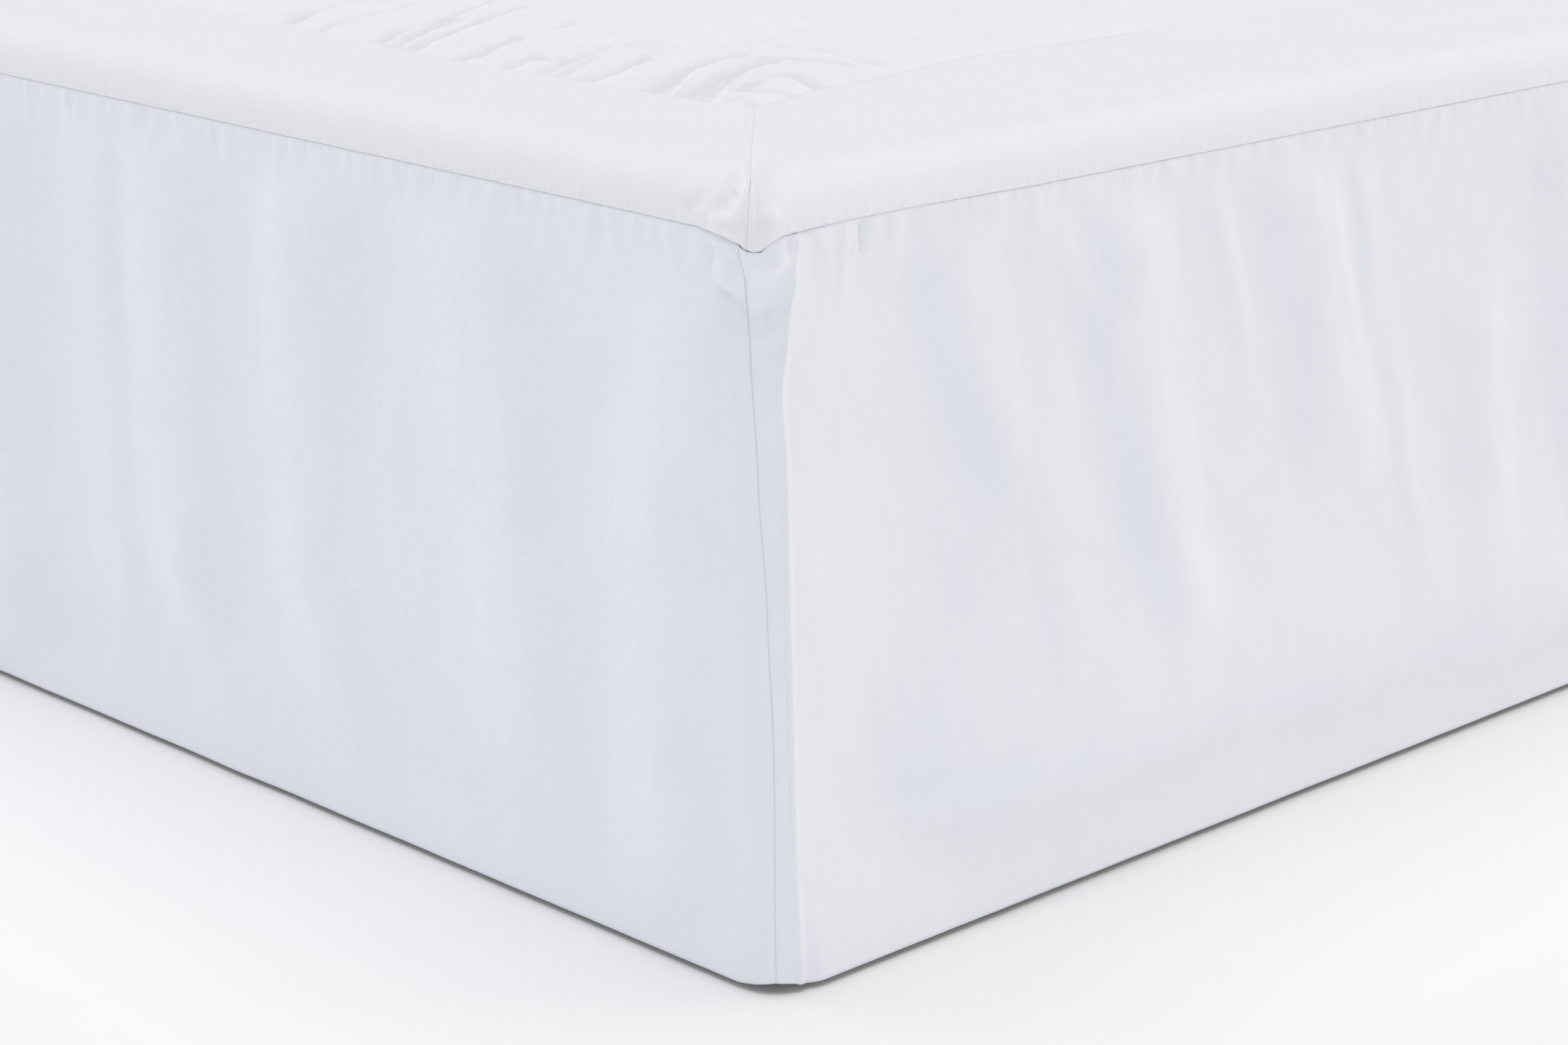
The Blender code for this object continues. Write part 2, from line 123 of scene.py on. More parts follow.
def graded(*stretches: tuple[float, float, float]) -> Array:
    """Lay out rising places.

    Args:
        *stretches: A start, an end and a step each, every one from where the last one ends.

    Returns:
        The places, with both ends of every stretch.
    """
    places = [stretches[0][0]]
    for start, end, step in stretches:
        count = max(1, round((end - start) / step))
        places += [start + (end - start) * (i + 1) / count for i in range(count)]
    return np.array(places)


class SoftNoise:
    """Smooth seeded noise between about -1 and 1, which varies over one unit of each coordinate."""

    def __init__(self, seed: int, size: int = 64) -> None:
        """Draw one gradient for each point of a repeating lattice.

        Args:
            seed: Picks one pattern.
            size: How many points the lattice has each way before it repeats.
        """
        angles = np.random.default_rng(seed).uniform(0.0, 2 * math.pi, (size, size))
        self.gradients = np.stack((np.cos(angles), np.sin(angles)), axis=-1)
        self.size = size

    def at(self, u: Array, v: Array) -> Array:
        """Read the noise.

        Args:
            u: First coordinates.
            v: Second coordinates.

        Returns:
            The noise at each pair of coordinates.
        """
        u, v = np.broadcast_arrays(u, v)
        column, row = np.floor(u).astype(int), np.floor(v).astype(int)
        x, y = u - column, v - row

        def pull(i: int, j: int) -> Array:
            """Return what one corner of the lattice cell adds."""
            gradient = self.gradients[(column + i) % self.size, (row + j) % self.size]
            return gradient[..., 0] * (x - i) + gradient[..., 1] * (y - j)

        fade_x, fade_y = (t * t * t * (t * (6 * t - 15) + 10) for t in (x, y))
        near = mixed(pull(0, 0), pull(1, 0), fade_x)
        far = mixed(pull(0, 1), pull(1, 1), fade_x)
        # The gradients alone reach about two thirds
        return 1.5 * mixed(near, far, fade_y)


@dataclass(frozen=True)
class Waviness:
    """Soft unevenness over a surface: its size, its length each way, and what sets its seed apart."""

    size: float
    lengths: Place
    seed: int = 0

    def at(self, u: Array, v: Array, seed: int) -> Array:
        """Return the unevenness at pairs of coordinates, for a piece's own seed."""
        return self.size * SoftNoise(seed + self.seed).at(u / self.lengths[0], v / self.lengths[1])


# Folds, creases and puckers


class Fold(NamedTuple):
    """A soft ridge, or a trough where it stands less than nothing proud.

    Its crest runs through three points, as (from corner, above hem). It reaches a distance towards the corner
    and a distance away from it.
    """

    top: Place
    middle: Place
    low: Place
    proud: float
    near: float
    far: float


class Crease(NamedTuple):
    """A crease of a cloth: its route over it, its height, which is negative for a dent, and its reach."""

    route: tuple[Place, ...]
    height: float
    reach: float


SIDE_FOLDS = (
    Fold((0.098, 0.350), (0.094, 0.200), (0.088, 0.060), -0.0070, 0.080, 0.092),
    Fold((0.122, 0.350), (0.134, 0.290), (0.152, 0.240), 0.0068, 0.032, 0.042),
    Fold((0.196, 0.340), (0.206, 0.320), (0.224, 0.290), 0.0022, 0.020, 0.018),
    Fold((0.192, 0.240), (0.196, 0.190), (0.200, 0.150), 0.0022, 0.026, 0.034),
    Fold((0.248, 0.350), (0.260, 0.262), (0.284, 0.150), 0.0088, 0.042, 0.044),
    Fold((0.320, 0.350), (0.326, 0.310), (0.334, 0.280), 0.0021, 0.014, 0.014),
    Fold((0.384, 0.340), (0.402, 0.290), (0.428, 0.205), 0.0070, 0.052, 0.034),
    Fold((0.416, 0.320), (0.422, 0.285), (0.434, 0.250), 0.0015, 0.010, 0.014),
    Fold((0.440, 0.338), (0.442, 0.316), (0.446, 0.296), 0.0026, 0.008, 0.022),
    Fold((0.478, 0.205), (0.487, 0.170), (0.494, 0.142), 0.0015, 0.014, 0.014),
    Fold((0.550, 0.225), (0.558, 0.180), (0.564, 0.150), 0.0056, 0.056, 0.032),
    Fold((0.630, 0.320), (0.645, 0.220), (0.668, 0.110), 0.0062, 0.040, 0.060),
)
FOOT_FOLDS = (
    Fold((0.046, 0.300), (0.060, 0.200), (0.056, 0.060), 0.0080, 0.050, 0.052),
    Fold((0.184, 0.330), (0.168, 0.220), (0.150, 0.100), 0.0074, 0.046, 0.082),
    Fold((0.330, 0.330), (0.331, 0.200), (0.318, 0.090), 0.0074, 0.060, 0.048),
    Fold((0.446, 0.330), (0.444, 0.220), (0.440, 0.120), 0.0070, 0.054, 0.054),
    Fold((0.428, 0.090), (0.412, 0.055), (0.400, 0.020), 0.0030, 0.034, 0.044),
    Fold((0.512, 0.340), (0.510, 0.220), (0.502, 0.100), 0.0030, 0.026, 0.040),
    Fold((0.632, 0.330), (0.636, 0.200), (0.620, 0.060), 0.0125, 0.076, 0.060),
)
# Creases of the drops, as (from corner, above hem). Those of a side drop's strip start with the distance
# across the corner
SIDE_PINCHES = (
    Crease(((0.0645, 0.353), (0.0652, 0.341)), -0.0021, 0.0030),
    Crease(((0.0530, 0.348), (0.0520, 0.324)), 0.0012, 0.0045),
    Crease(((0.0185, 0.353), (0.0180, 0.349)), -0.0012, 0.0026),
)
STRIP_PINCHES = (
    Crease(((0.0080, 0.346), (0.0090, 0.345)), 0.0016, 0.0080),
    Crease(((-0.0030, 0.3350), (0.0060, 0.3340)), -0.0007, 0.0036),
    Crease(((-0.0020, 0.3190), (0.0070, 0.3185)), -0.0008, 0.0040),
)
FOOT_PINCHES = (
    Crease(((0.0205, 0.3405), (0.0215, 0.3395)), 0.0024, 0.0090),
    Crease(((0.0220, 0.333), (0.0130, 0.328)), -0.0013, 0.0036),
    Crease(((0.0300, 0.350), (0.0305, 0.340)), -0.0009, 0.0034),
)
# Creases of the border at the foot corner, as (from mitre, above seam)
FOOT_BORDER_PINCHES = (
    Crease(((0.0060, 0.0260), (0.0100, 0.0200)), -0.0016, 0.0072),
    Crease(((0.0090, 0.0170), (0.0140, 0.0120)), -0.0015, 0.0062),
    Crease(((0.0300, 0.0130), (0.0370, 0.0070)), -0.0011, 0.0062),
    Crease(((0.0180, 0.0040), (0.0080, 0.0050)), 0.0019, 0.0065),
    Crease(((0.0000, 0.0380), (0.0000, 0.0040)), -0.0005, 0.0026),
)
SIDE_BORDER_PINCHES = (
    Crease(((0.0022, 0.0260), (0.0035, 0.0120), (0.0070, 0.0015)), -0.0014, 0.0032),
    Crease(((0.0090, 0.0085), (0.0100, 0.0085)), 0.0019, 0.0070),
    Crease(((0.0000, 0.0380), (0.0000, 0.0040)), -0.0005, 0.0026),
)
# Creases of the deck, as (from side, from foot)
DECK_CREASES = (
    Crease(((0.494, 0.113), (0.514, 0.151), (0.522, 0.186), (0.517, 0.211)), -0.0040, 0.0054),
    Crease(((0.408, 0.110), (0.433, 0.153), (0.442, 0.188)), -0.0036, 0.0048),
    Crease(((0.394, 0.109), (0.420, 0.160), (0.433, 0.190)), -0.0032, 0.0046),
    Crease(((0.378, 0.109), (0.401, 0.157), (0.430, 0.208), (0.443, 0.244)), -0.0040, 0.0052),
    Crease(((0.336, 0.103), (0.347, 0.138), (0.358, 0.173)), -0.0036, 0.0048),
    Crease(((0.304, 0.116), (0.310, 0.139), (0.290, 0.141)), -0.0036, 0.0048),
    Crease(((0.246, 0.115), (0.247, 0.135), (0.267, 0.180)), -0.0040, 0.0056),
    Crease(((0.240, 0.109), (0.217, 0.111)), -0.0040, 0.0044),
    Crease(
        ((0.199, 0.104), (0.203, 0.130), (0.223, 0.162), (0.242, 0.196), (0.238, 0.223)),
        -0.0040,
        0.0052,
    ),
    Crease(
        ((0.171, 0.109), (0.186, 0.139), (0.212, 0.184), (0.222, 0.218), (0.210, 0.230), (0.182, 0.240)),
        -0.0040,
        0.0050,
    ),
    Crease(((0.157, 0.116), (0.182, 0.152), (0.205, 0.191), (0.212, 0.219)), -0.0036, 0.0046),
    Crease(((0.166, 0.150), (0.183, 0.179), (0.174, 0.195), (0.142, 0.188)), -0.0040, 0.0056),
    Crease(((0.139, 0.130), (0.116, 0.124)), -0.0032, 0.0046),
    Crease(((0.408, 0.140), (0.450, 0.201), (0.477, 0.251)), -0.0024, 0.0044),
    Crease(((0.336, 0.124), (0.370, 0.182), (0.380, 0.228)), -0.0026, 0.0044),
    Crease(((0.279, 0.121), (0.296, 0.162), (0.309, 0.205), (0.306, 0.234)), -0.0026, 0.0048),
    Crease(((0.264, 0.112), (0.272, 0.134), (0.284, 0.158)), -0.0024, 0.0044),
    Crease(
        ((0.188, 0.115), (0.224, 0.171), (0.249, 0.221), (0.247, 0.256), (0.212, 0.263), (0.179, 0.257)),
        -0.0024,
        0.0046,
    ),
    Crease(((0.162, 0.116), (0.203, 0.172), (0.214, 0.206), (0.196, 0.220)), -0.0024, 0.0044),
    Crease(((0.153, 0.133), (0.159, 0.156), (0.145, 0.168)), -0.0024, 0.0044),
    Crease(((0.470, 0.120), (0.480, 0.160), (0.494, 0.206)), -0.0022, 0.0044),
    Crease(
        ((0.294, 0.211), (0.287, 0.253), (0.301, 0.339), (0.278, 0.430), (0.243, 0.514)),
        0.0030,
        0.0260,
    ),
    Crease(((0.206, 0.344), (0.191, 0.412), (0.180, 0.439)), 0.0026, 0.0220),
)


@dataclass(frozen=True)
class UnevenFolds:
    """The folds of a drop's unseen stretch, drawn between a least and a greatest value of each size."""

    spacing: Span = (0.085, 0.135)
    lean: Span = (-0.010, 0.030)
    top: Span = (0.290, 0.345)
    low: Span = (0.080, 0.170)
    proud: Span = (0.0040, 0.0080)
    reach: Span = (0.042, 0.056)
    bow: float = 0.4

    def between(self, first: float, last: float, seed: int) -> list[Fold]:
        """Draw folds from first to last along a drop.

        Args:
            first: Place of the first fold.
            last: Where the folds end.
            seed: Picks one uneven row of folds.

        Returns:
            The folds, from first to last.
        """
        draw = random.Random(seed)
        folds = []
        place = first
        while place < last:
            lean, top, low = (draw.uniform(*span) for span in (self.lean, self.top, self.low))
            middle = (place + lean * self.bow, (top + low) / 2)
            proud, near, far = (draw.uniform(*span) for span in (self.proud, self.reach, self.reach))
            folds.append(Fold((place, top), middle, (place + lean, low), proud, near, far))
            place += draw.uniform(*self.spacing)
        return folds


@dataclass(frozen=True)
class UnevenCreases:
    """Long soft creases over the deck's far part, in uneven columns and rows, running towards the head."""

    columns: int = 3
    rows: int = 4
    first: Place = (0.42, 0.46)
    spacing: Place = (0.34, 0.38)
    shift: Place = (0.07, 0.08)
    clear_of: Place = (0.55, 0.50)
    length: Span = (0.16, 0.30)
    turn: float = 0.05
    height: Span = (0.0022, 0.0036)
    reach: float = 0.085

    def over_deck(self, seed: int) -> list[Crease]:
        """Draw the creases.

        Args:
            seed: Picks one uneven set of creases.

        Returns:
            The creases, which stay clear of the hand-placed ones near the foot corner.
        """
        draw = random.Random(seed)
        creases = []
        for column in range(self.columns):
            for row in range(self.rows):
                side, foot = (
                    self.first[i] + self.spacing[i] * count + draw.uniform(-self.shift[i], self.shift[i])
                    for i, count in enumerate((column, row))
                )
                if side < self.clear_of[0] and foot < self.clear_of[1]:
                    continue
                length = draw.uniform(*self.length)
                route = ((side, foot), (side + draw.uniform(-self.turn, self.turn), foot + length))
                creases.append(Crease(route, draw.uniform(*self.height), self.reach))
        return creases


def distance_to_route(u: Array, v: Array, route: Sequence[Place]) -> Array:
    """Measure from points to the nearest stretch of a route.

    Args:
        u: The points' first coordinate.
        v: The points' second coordinate.
        route: The points that the route runs through.

    Returns:
        The distances, negative on the route's right.
    """
    nearest = np.full(np.broadcast(u, v).shape, math.inf)
    for (au, av), (bu, bv) in zip(route, route[1:]):
        du, dv = bu - au, bv - av
        share = np.clip(((u - au) * du + (v - av) * dv) / (du * du + dv * dv), 0.0, 1.0)
        distance = np.hypot(u - au - share * du, v - av - share * dv)
        right = du * (v - av) < dv * (u - au)
        nearest = np.where(distance < np.abs(nearest), np.where(right, -distance, distance), nearest)
    return nearest


def creased(u: Array, v: Array, creases: Sequence[Crease], spread: float = 1.0) -> Array:
    """Let creases lift a cloth.

    Args:
        u: Points of the cloth, in the same terms as the creases' routes.
        v: The same points' other coordinate.
        creases: The creases, or dents.
        spread: How many times further they reach on the right of their routes than on the left.

    Returns:
        How far each point is lifted.
    """
    height = np.zeros(np.broadcast(u, v).shape)
    for crease in creases:
        distance = distance_to_route(u, v, crease.route)
        reach = np.where(distance < 0.0, spread * crease.reach, crease.reach)
        height = height + crease.height * hump(distance, reach)
    return height


# A pucker's reach, width and height as shares of the greatest, and how far it leans along the seam for each
# metre that it runs from it
PUCKER_REACH = (0.35, 1.0)
PUCKER_LEAN = (-0.25, 0.25)
PUCKER_WIDTH = (0.45, 0.70)
PUCKER_HEIGHT = (0.35, 1.0)


def puckers(place: Array, distance: Array, spacing: Span, length: float, seed: int) -> Array:
    """Gather a cloth in short uneven puckers along a seam.

    Args:
        place: Distance along the seam.
        distance: Distance from the seam.
        spacing: The least and the widest distance from one pucker to the next.
        length: How far the longest pucker reaches from the seam.
        seed: Picks one uneven row of puckers.

    Returns:
        The height of the puckers, between 0 and 1.
    """
    draw = np.random.default_rng(seed)
    height = np.zeros(np.broadcast(place, distance).shape)
    centre, last = float(np.min(place)), float(np.max(place))
    while centre < last:
        width = draw.uniform(*spacing)
        reach = length * draw.uniform(*PUCKER_REACH)
        lean = draw.uniform(*PUCKER_LEAN)
        across = hump(place - centre - lean * distance, width * draw.uniform(*PUCKER_WIDTH))
        away = ease(1.0 - distance / reach)
        height = np.maximum(height, draw.uniform(*PUCKER_HEIGHT) * across * away)
        centre += width
    return height


# Sizes shared by the pieces


class Face(Enum):
    """A face that the skirt covers. Places run from a foot corner, the right one for the foot face."""

    FOOT = "foot"
    RIGHT = "right"
    LEFT = "left"


@dataclass(frozen=True)
class Bed:
    """The sizes that every piece shares, worked out from the frame and a few cloth allowances."""

    box_low: Vector
    box_high: Vector
    deck_top: float
    drop: float = 0.356
    hem_height: float = 0.003
    cloth_offset: float = 0.0034
    roll_radius: float = 0.024
    corner_radius: float = 0.029
    tight_radius: float = 0.012
    corner_dips: Table = (
        (-0.0600, 0.0000),
        (-0.0280, 0.0004),
        (-0.0225, 0.0018),
        (-0.0176, 0.0022),
        (-0.0126, 0.0039),
        (-0.0086, 0.0051),
        (-0.0072, 0.0067),
        (0.0018, 0.0068),
        (0.0044, 0.0033),
        (0.0112, 0.0006),
        (0.0183, 0.0004),
        (0.0255, 0.0000),
        (0.0360, -0.0010),
        (0.0700, -0.0012),
        (0.1300, 0.0000),
    )
    seam_seed: int = 17
    seam_wobble: float = 0.0004
    wobble_length: float = 0.0060
    wobble_reach: float = 0.060
    extra_pull: float = 0.9
    pull_place: float = 0.018
    pull_reach: float = 0.024
    head_margin: float = 0.026
    side_flare: float = 0.0156

    @classmethod
    def from_frame(cls) -> "Bed":
        """Return the bed whose box spring and borders the frame holds."""
        box_low, box_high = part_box("box_spring")
        return cls(box_low, box_high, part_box("border_foot")[1].z)

    @property
    def half_x(self) -> float:
        """Distance from the middle to the drop's cloth at the side."""
        return self.box_high.x + self.cloth_offset

    @property
    def half_y(self) -> float:
        """Distance from the middle to the drop's cloth at the foot."""
        return self.box_high.y + self.cloth_offset

    @property
    def face_length(self) -> float:
        """Length of a side face, from the foot face to the head hem."""
        return self.box_high.y - self.head_margin + self.half_y

    @property
    def seam_top(self) -> float:
        """Height of the seam between border and drop, away from the corners."""
        return self.hem_height + self.drop

    def world(self, face: Face, place: Array, out: Array) -> tuple[Array, Array]:
        """Find points of a face in plan.

        Args:
            face: The face that they lie on.
            place: Their places along it.
            out: Their distances out of it.

        Returns:
            Their x and their y.
        """
        if face is Face.FOOT:
            return self.half_x - place, -self.half_y - out
        if face is Face.RIGHT:
            return self.half_x + out, -self.half_y + place
        return -self.half_x - out, -self.half_y + place

    def flare(self, height: Array) -> Array:
        """Return how far a side drop hangs outwards at a height above the hem."""
        return self.side_flare * (1.0 - height / self.drop)

    def seam_height(self, lateral: Array) -> Array:
        """Find the height of the top seam, which dips where it turns a foot corner.

        Args:
            lateral: Distances across the corner's diagonal, positive towards the side.

        Returns:
            The seam's height at each of them.
        """
        places, dips = np.array(self.corner_dips).T
        wobble = SoftNoise(self.seam_seed).at(lateral / self.wobble_length, 0.5)
        uneven = self.seam_wobble * wobble * hump(lateral, self.wobble_reach)
        return self.seam_top - np.interp(lateral, places, dips) + uneven

    def seam_pull(self, lateral: Array) -> Array:
        """Return how many times deeper the seam is pulled in than far from a corner."""
        return 1.0 + self.extra_pull * hump(np.abs(lateral) - self.pull_place, self.pull_reach)


def round_depth(lateral: Array, radius: Array) -> Array:
    """Compare a round corner with the sharp one round it.

    Args:
        lateral: Distances across the corner's diagonal.
        radius: The round corner's radius.

    Returns:
        How far inside of the sharp corner it runs, measured along the diagonal.
    """
    reach = np.abs(lateral)
    inside = np.minimum(reach, radius / ROOT_TWO)
    return radius * ROOT_TWO - np.sqrt(radius**2 - inside**2) + reach - inside


@dataclass(frozen=True)
class FootCorner:
    """The drops' foot corner in plan.

    Laterals run across the corner's diagonal, positive towards the side. Under the border the corner is
    round. Lower down it bends softly from the foot to the vertical seam, is flat over the side drop's turned
    seam allowance, and meets the side at an arris.
    """

    radius: float
    drop: float
    settle: float = 0.034
    seam: Table = (
        (0.000, -0.0007),
        (0.120, 0.0009),
        (0.185, -0.0005),
        (0.250, -0.0032),
        (0.311, -0.0053),
        (0.341, -0.0069),
        (0.356, -0.0095),
    )
    arris: Table = (
        (0.000, 0.0104),
        (0.070, 0.0090),
        (0.250, 0.0088),
        (0.284, 0.0074),
        (0.311, 0.0106),
        (0.335, 0.0143),
        (0.356, 0.0155),
    )
    belly: Table = ((0.000, 0.0045), (0.090, 0.0000), (0.356, 0.0000))
    belly_reach: float = 1.3
    lift: float = 0.0026
    lift_reach: float = 0.017
    lift_height: float = 0.060

    def place_and_out(self, lateral: Array, height: Array, face: Face) -> tuple[Array, Array]:
        """Find points of the corner on the two faces' planes.

        Args:
            lateral: Distance across the diagonal, positive towards the given face.
            height: Height above the hem.
            face: The face to measure along, the foot or a side.

        Returns:
            The distance along the face from the faces' meeting line, and the distance out of the face.
        """
        flat = along(self.arris, height)
        bend = flat / math.tan(math.pi / 8)
        to_foot = lateral if face is Face.FOOT else -lateral
        inside = np.clip(to_foot, 0.0, bend / ROOT_TWO)
        bent = flat + bend - np.sqrt(bend**2 - inside**2) + np.maximum(to_foot - bend / ROOT_TWO, 0.0)
        lower_depth = np.where(to_foot > 0.0, bent, np.maximum(flat, -to_foot))
        lower_depth = lower_depth - along(self.belly, height) * hump(lateral, self.belly_reach * flat)
        rise = ease((height - self.drop + self.settle) / self.settle)
        depth = mixed(lower_depth, round_depth(lateral, self.radius), rise)
        return (lateral + depth) / ROOT_TWO, (lateral - depth) / ROOT_TWO

    def hem_lift(self, lateral: Array, height: Array) -> Array:
        """Return how far the corner's low end is drawn up."""
        return self.lift * hump(lateral, self.lift_reach) * ease(1.0 - height / self.lift_height)


# Meshes


def outward_normals(points: Array) -> Array:
    """Return unit normals of a grid of points, to the left of its columns seen along its rows."""
    normals = np.cross(np.gradient(points, axis=1), np.gradient(points, axis=0))
    return normals / np.linalg.norm(normals, axis=-1, keepdims=True)


def walked(points: Array) -> Array:
    """Measure a grid of points along its rows.

    Args:
        points: Rows and columns of points.

    Returns:
        How far each point lies from its row's start, evened over the rows.
    """
    steps = np.linalg.norm(np.diff(points, axis=1), axis=-1).mean(axis=0)
    walk = np.concatenate(((0.0,), np.cumsum(steps)))
    return np.broadcast_to(walk, points.shape[:2])


def placed(name: str, data: bpy.types.ID) -> bpy.types.Object:
    """Put an object that shows some data in the scene.

    Args:
        name: Name of the new object.
        data: Its mesh, light or camera.

    Returns:
        The new object.
    """
    obj = bpy.data.objects.new(name, data)
    bpy.context.scene.collection.objects.link(obj)
    return obj


def dressed(obj: bpy.types.Object, node: str) -> None:
    """Let a finished piece ride on the bed, in the place of its solid, which is hidden.

    Args:
        obj: The piece.
        node: The solid that it replaces.
    """
    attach(obj, BODY)
    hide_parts(node)


def sheet_object(
    name: str, points: Array, cloth_map: Array, thickness: float, material: bpy.types.Material
) -> bpy.types.Object:
    """Make a cloth from a grid of points on its middle surface.

    Args:
        name: Name of the new object.
        points: Rows and columns of points, in metres.
        cloth_map: The same points on the flat cloth, in metres.
        thickness: Thickness of the cloth.
        material: The cloth's material.

    Returns:
        The new object, with its thickness put on by a modifier.
    """
    rows, columns = points.shape[:2]
    index = np.arange(rows * columns).reshape(rows, columns)
    corners = (index[:-1, :-1], index[:-1, 1:], index[1:, 1:], index[1:, :-1])
    quads = np.stack(corners, axis=-1).reshape(-1, 4)
    mesh = bpy.data.meshes.new(name)
    mesh.from_pydata(points.reshape(-1, 3).tolist(), [], quads.tolist())
    layer = mesh.uv_layers.new(name=CLOTH_MAP)
    layer.data.foreach_set("uv", cloth_map.reshape(-1, 2)[quads.ravel()].astype(np.float32).ravel())
    mesh.materials.append(material)
    mesh.shade_smooth()
    obj = placed(name, mesh)
    solidify = obj.modifiers.new("cloth", "SOLIDIFY")
    solidify.thickness = thickness
    solidify.offset = 0.0
    return obj


# Shader node groups


class Nodes:
    """A short way to add and join the nodes of one tree."""

    def __init__(self, tree: bpy.types.NodeTree) -> None:
        """Keep the tree that new nodes go into."""
        self.tree = tree

    def add(self, kind: str, values: dict[Any, Any] | None = None, **settings: Any) -> bpy.types.Node:
        """Add one node.

        Args:
            kind: Blender's name of the node type.
            values: Each input's name or number, with the value or the socket that feeds it.
            **settings: Properties of the node.

        Returns:
            The new node.
        """
        node = self.tree.nodes.new(kind)
        for name, setting in settings.items():
            setattr(node, name, setting)
        self.feed(node, values or {})
        return node

    def feed(self, node: bpy.types.Node, values: dict[Any, Any]) -> None:
        """Set or join inputs of a node.

        Args:
            node: The node.
            values: Each input's name or number, with the value or the socket that feeds it.
        """
        for name, value in values.items():
            if isinstance(value, Socket):
                self.tree.links.new(value, node.inputs[name])
            else:
                node.inputs[name].default_value = value

    def math(self, operation: str, *values: float | Socket) -> Socket:
        """Return the result of one math node."""
        node = self.add("ShaderNodeMath", dict(enumerate(values)), operation=operation)
        return node.outputs[0]

    def blend(self, share: float | Socket, first: Any, second: Any) -> Socket:
        """Return a colour that lies a share of the way from the first to the second."""
        node = self.add("ShaderNodeMix", {0: share, 6: first, 7: second}, data_type="RGBA")
        return node.outputs[2]

    def noise(self, vector: Socket, scale: float | Socket, detail: float = 2.0) -> Socket:
        """Return a noise texture's value, between 0 and 1."""
        values = {"Vector": vector, "Scale": scale, "Detail": detail}
        return self.add("ShaderNodeTexNoise", values).outputs[0]

    def stretched(self, vector: Socket, scale: Colour) -> Socket:
        """Return a vector multiplied by a scale."""
        return self.add("ShaderNodeMapping", {"Vector": vector, "Scale": scale}).outputs[0]

    def bumped(self, height: Socket) -> Socket:
        """Return the normal of a surface with a height in metres."""
        values = {"Height": height, "Distance": 1.0, "Strength": 1.0}
        return self.add("ShaderNodeBump", values).outputs[0]


class Effect:
    """A shader node group with named inputs and outputs, built once."""

    name = ""
    inputs: tuple[tuple[str, str, float], ...] = ()
    outputs: tuple[tuple[str, str], ...] = ()

    def group(self) -> bpy.types.NodeTree:
        """Find the effect's node group, and build it the first time.

        Returns:
            The node group.
        """
        found = bpy.data.node_groups.get(self.name)
        if found:
            return found
        tree = bpy.data.node_groups.new(self.name, "ShaderNodeTree")
        tree.interface.new_socket("Vector", in_out="INPUT", socket_type="NodeSocketVector")
        for name, kind, value in self.inputs:
            socket = tree.interface.new_socket(name, in_out="INPUT", socket_type=f"NodeSocket{kind}")
            socket.default_value = value
        for name, kind in self.outputs:
            tree.interface.new_socket(name, in_out="OUTPUT", socket_type=f"NodeSocket{kind}")
        nodes = Nodes(tree)
        entry = nodes.add("NodeGroupInput")
        results = self.fill(nodes, entry)
        nodes.add("NodeGroupOutput", results)
        return tree

    def fill(self, nodes: Nodes, entry: bpy.types.Node) -> dict[str, Socket]:
        """Add the effect's nodes and return the socket that feeds each output."""
        raise NotImplementedError

    def place(self, nodes: Nodes, vector: Socket, **values: float) -> bpy.types.Node:
        """Put the effect in a material.

        Args:
            nodes: Adds the material's nodes.
            vector: Where to read the effect.
            **values: Its inputs that differ from the usual ones, by name.

        Returns:
            The group node.
        """
        node = nodes.add("ShaderNodeGroup", node_tree=self.group())
        nodes.tree.links.new(vector, node.inputs["Vector"])
        for name, value in values.items():
            node.inputs[name.replace("_", " ").title()].default_value = value
        return node


class PlainWeave(Effect):
    """Warp and weft threads that pass over and under each other."""

    name = "plain_weave"
    inputs = (("Pitch", "Float", 0.0005), ("Waviness", "Float", 0.3))
    outputs = (("Height", "Float"), ("Gaps", "Float"))
    drift_scale = 90.0
    swing = 0.30

    def fill(self, nodes: Nodes, entry: bpy.types.Node) -> dict[str, Socket]:
        """Add the threads: rounded ridges both ways, each high where it passes over the other.

        Args:
            nodes: Adds and joins the group's nodes.
            entry: The group's input node.

        Returns:
            The socket that feeds each output.
        """
        drift = nodes.noise(entry.outputs["Vector"], self.drift_scale)
        drift = nodes.math("MULTIPLY", drift, entry.outputs["Waviness"])
        split = nodes.add("ShaderNodeSeparateXYZ", {0: entry.outputs["Vector"]})
        u, v = (
            nodes.math("ADD", nodes.math("DIVIDE", split.outputs[axis], entry.outputs["Pitch"]), drift)
            for axis in (0, 1)
        )
        threads = []
        for across, lengthways, phase in ((u, v, 0.0), (v, u, math.pi)):
            ridge = nodes.math("ABSOLUTE", nodes.math("SINE", nodes.math("MULTIPLY", across, math.pi)))
            turn = nodes.math("ADD", lengthways, nodes.math("FLOOR", across))
            turn = nodes.math("MULTIPLY_ADD", turn, math.pi, phase)
            lift = nodes.math("MULTIPLY_ADD", nodes.math("COSINE", turn), self.swing, 1.0 - self.swing)
            threads.append(nodes.math("MULTIPLY", ridge, lift))
        height = nodes.math("MAXIMUM", *threads)
        gaps = nodes.math("SUBTRACT", 1.0, height)
        return {"Height": height, "Gaps": gaps}


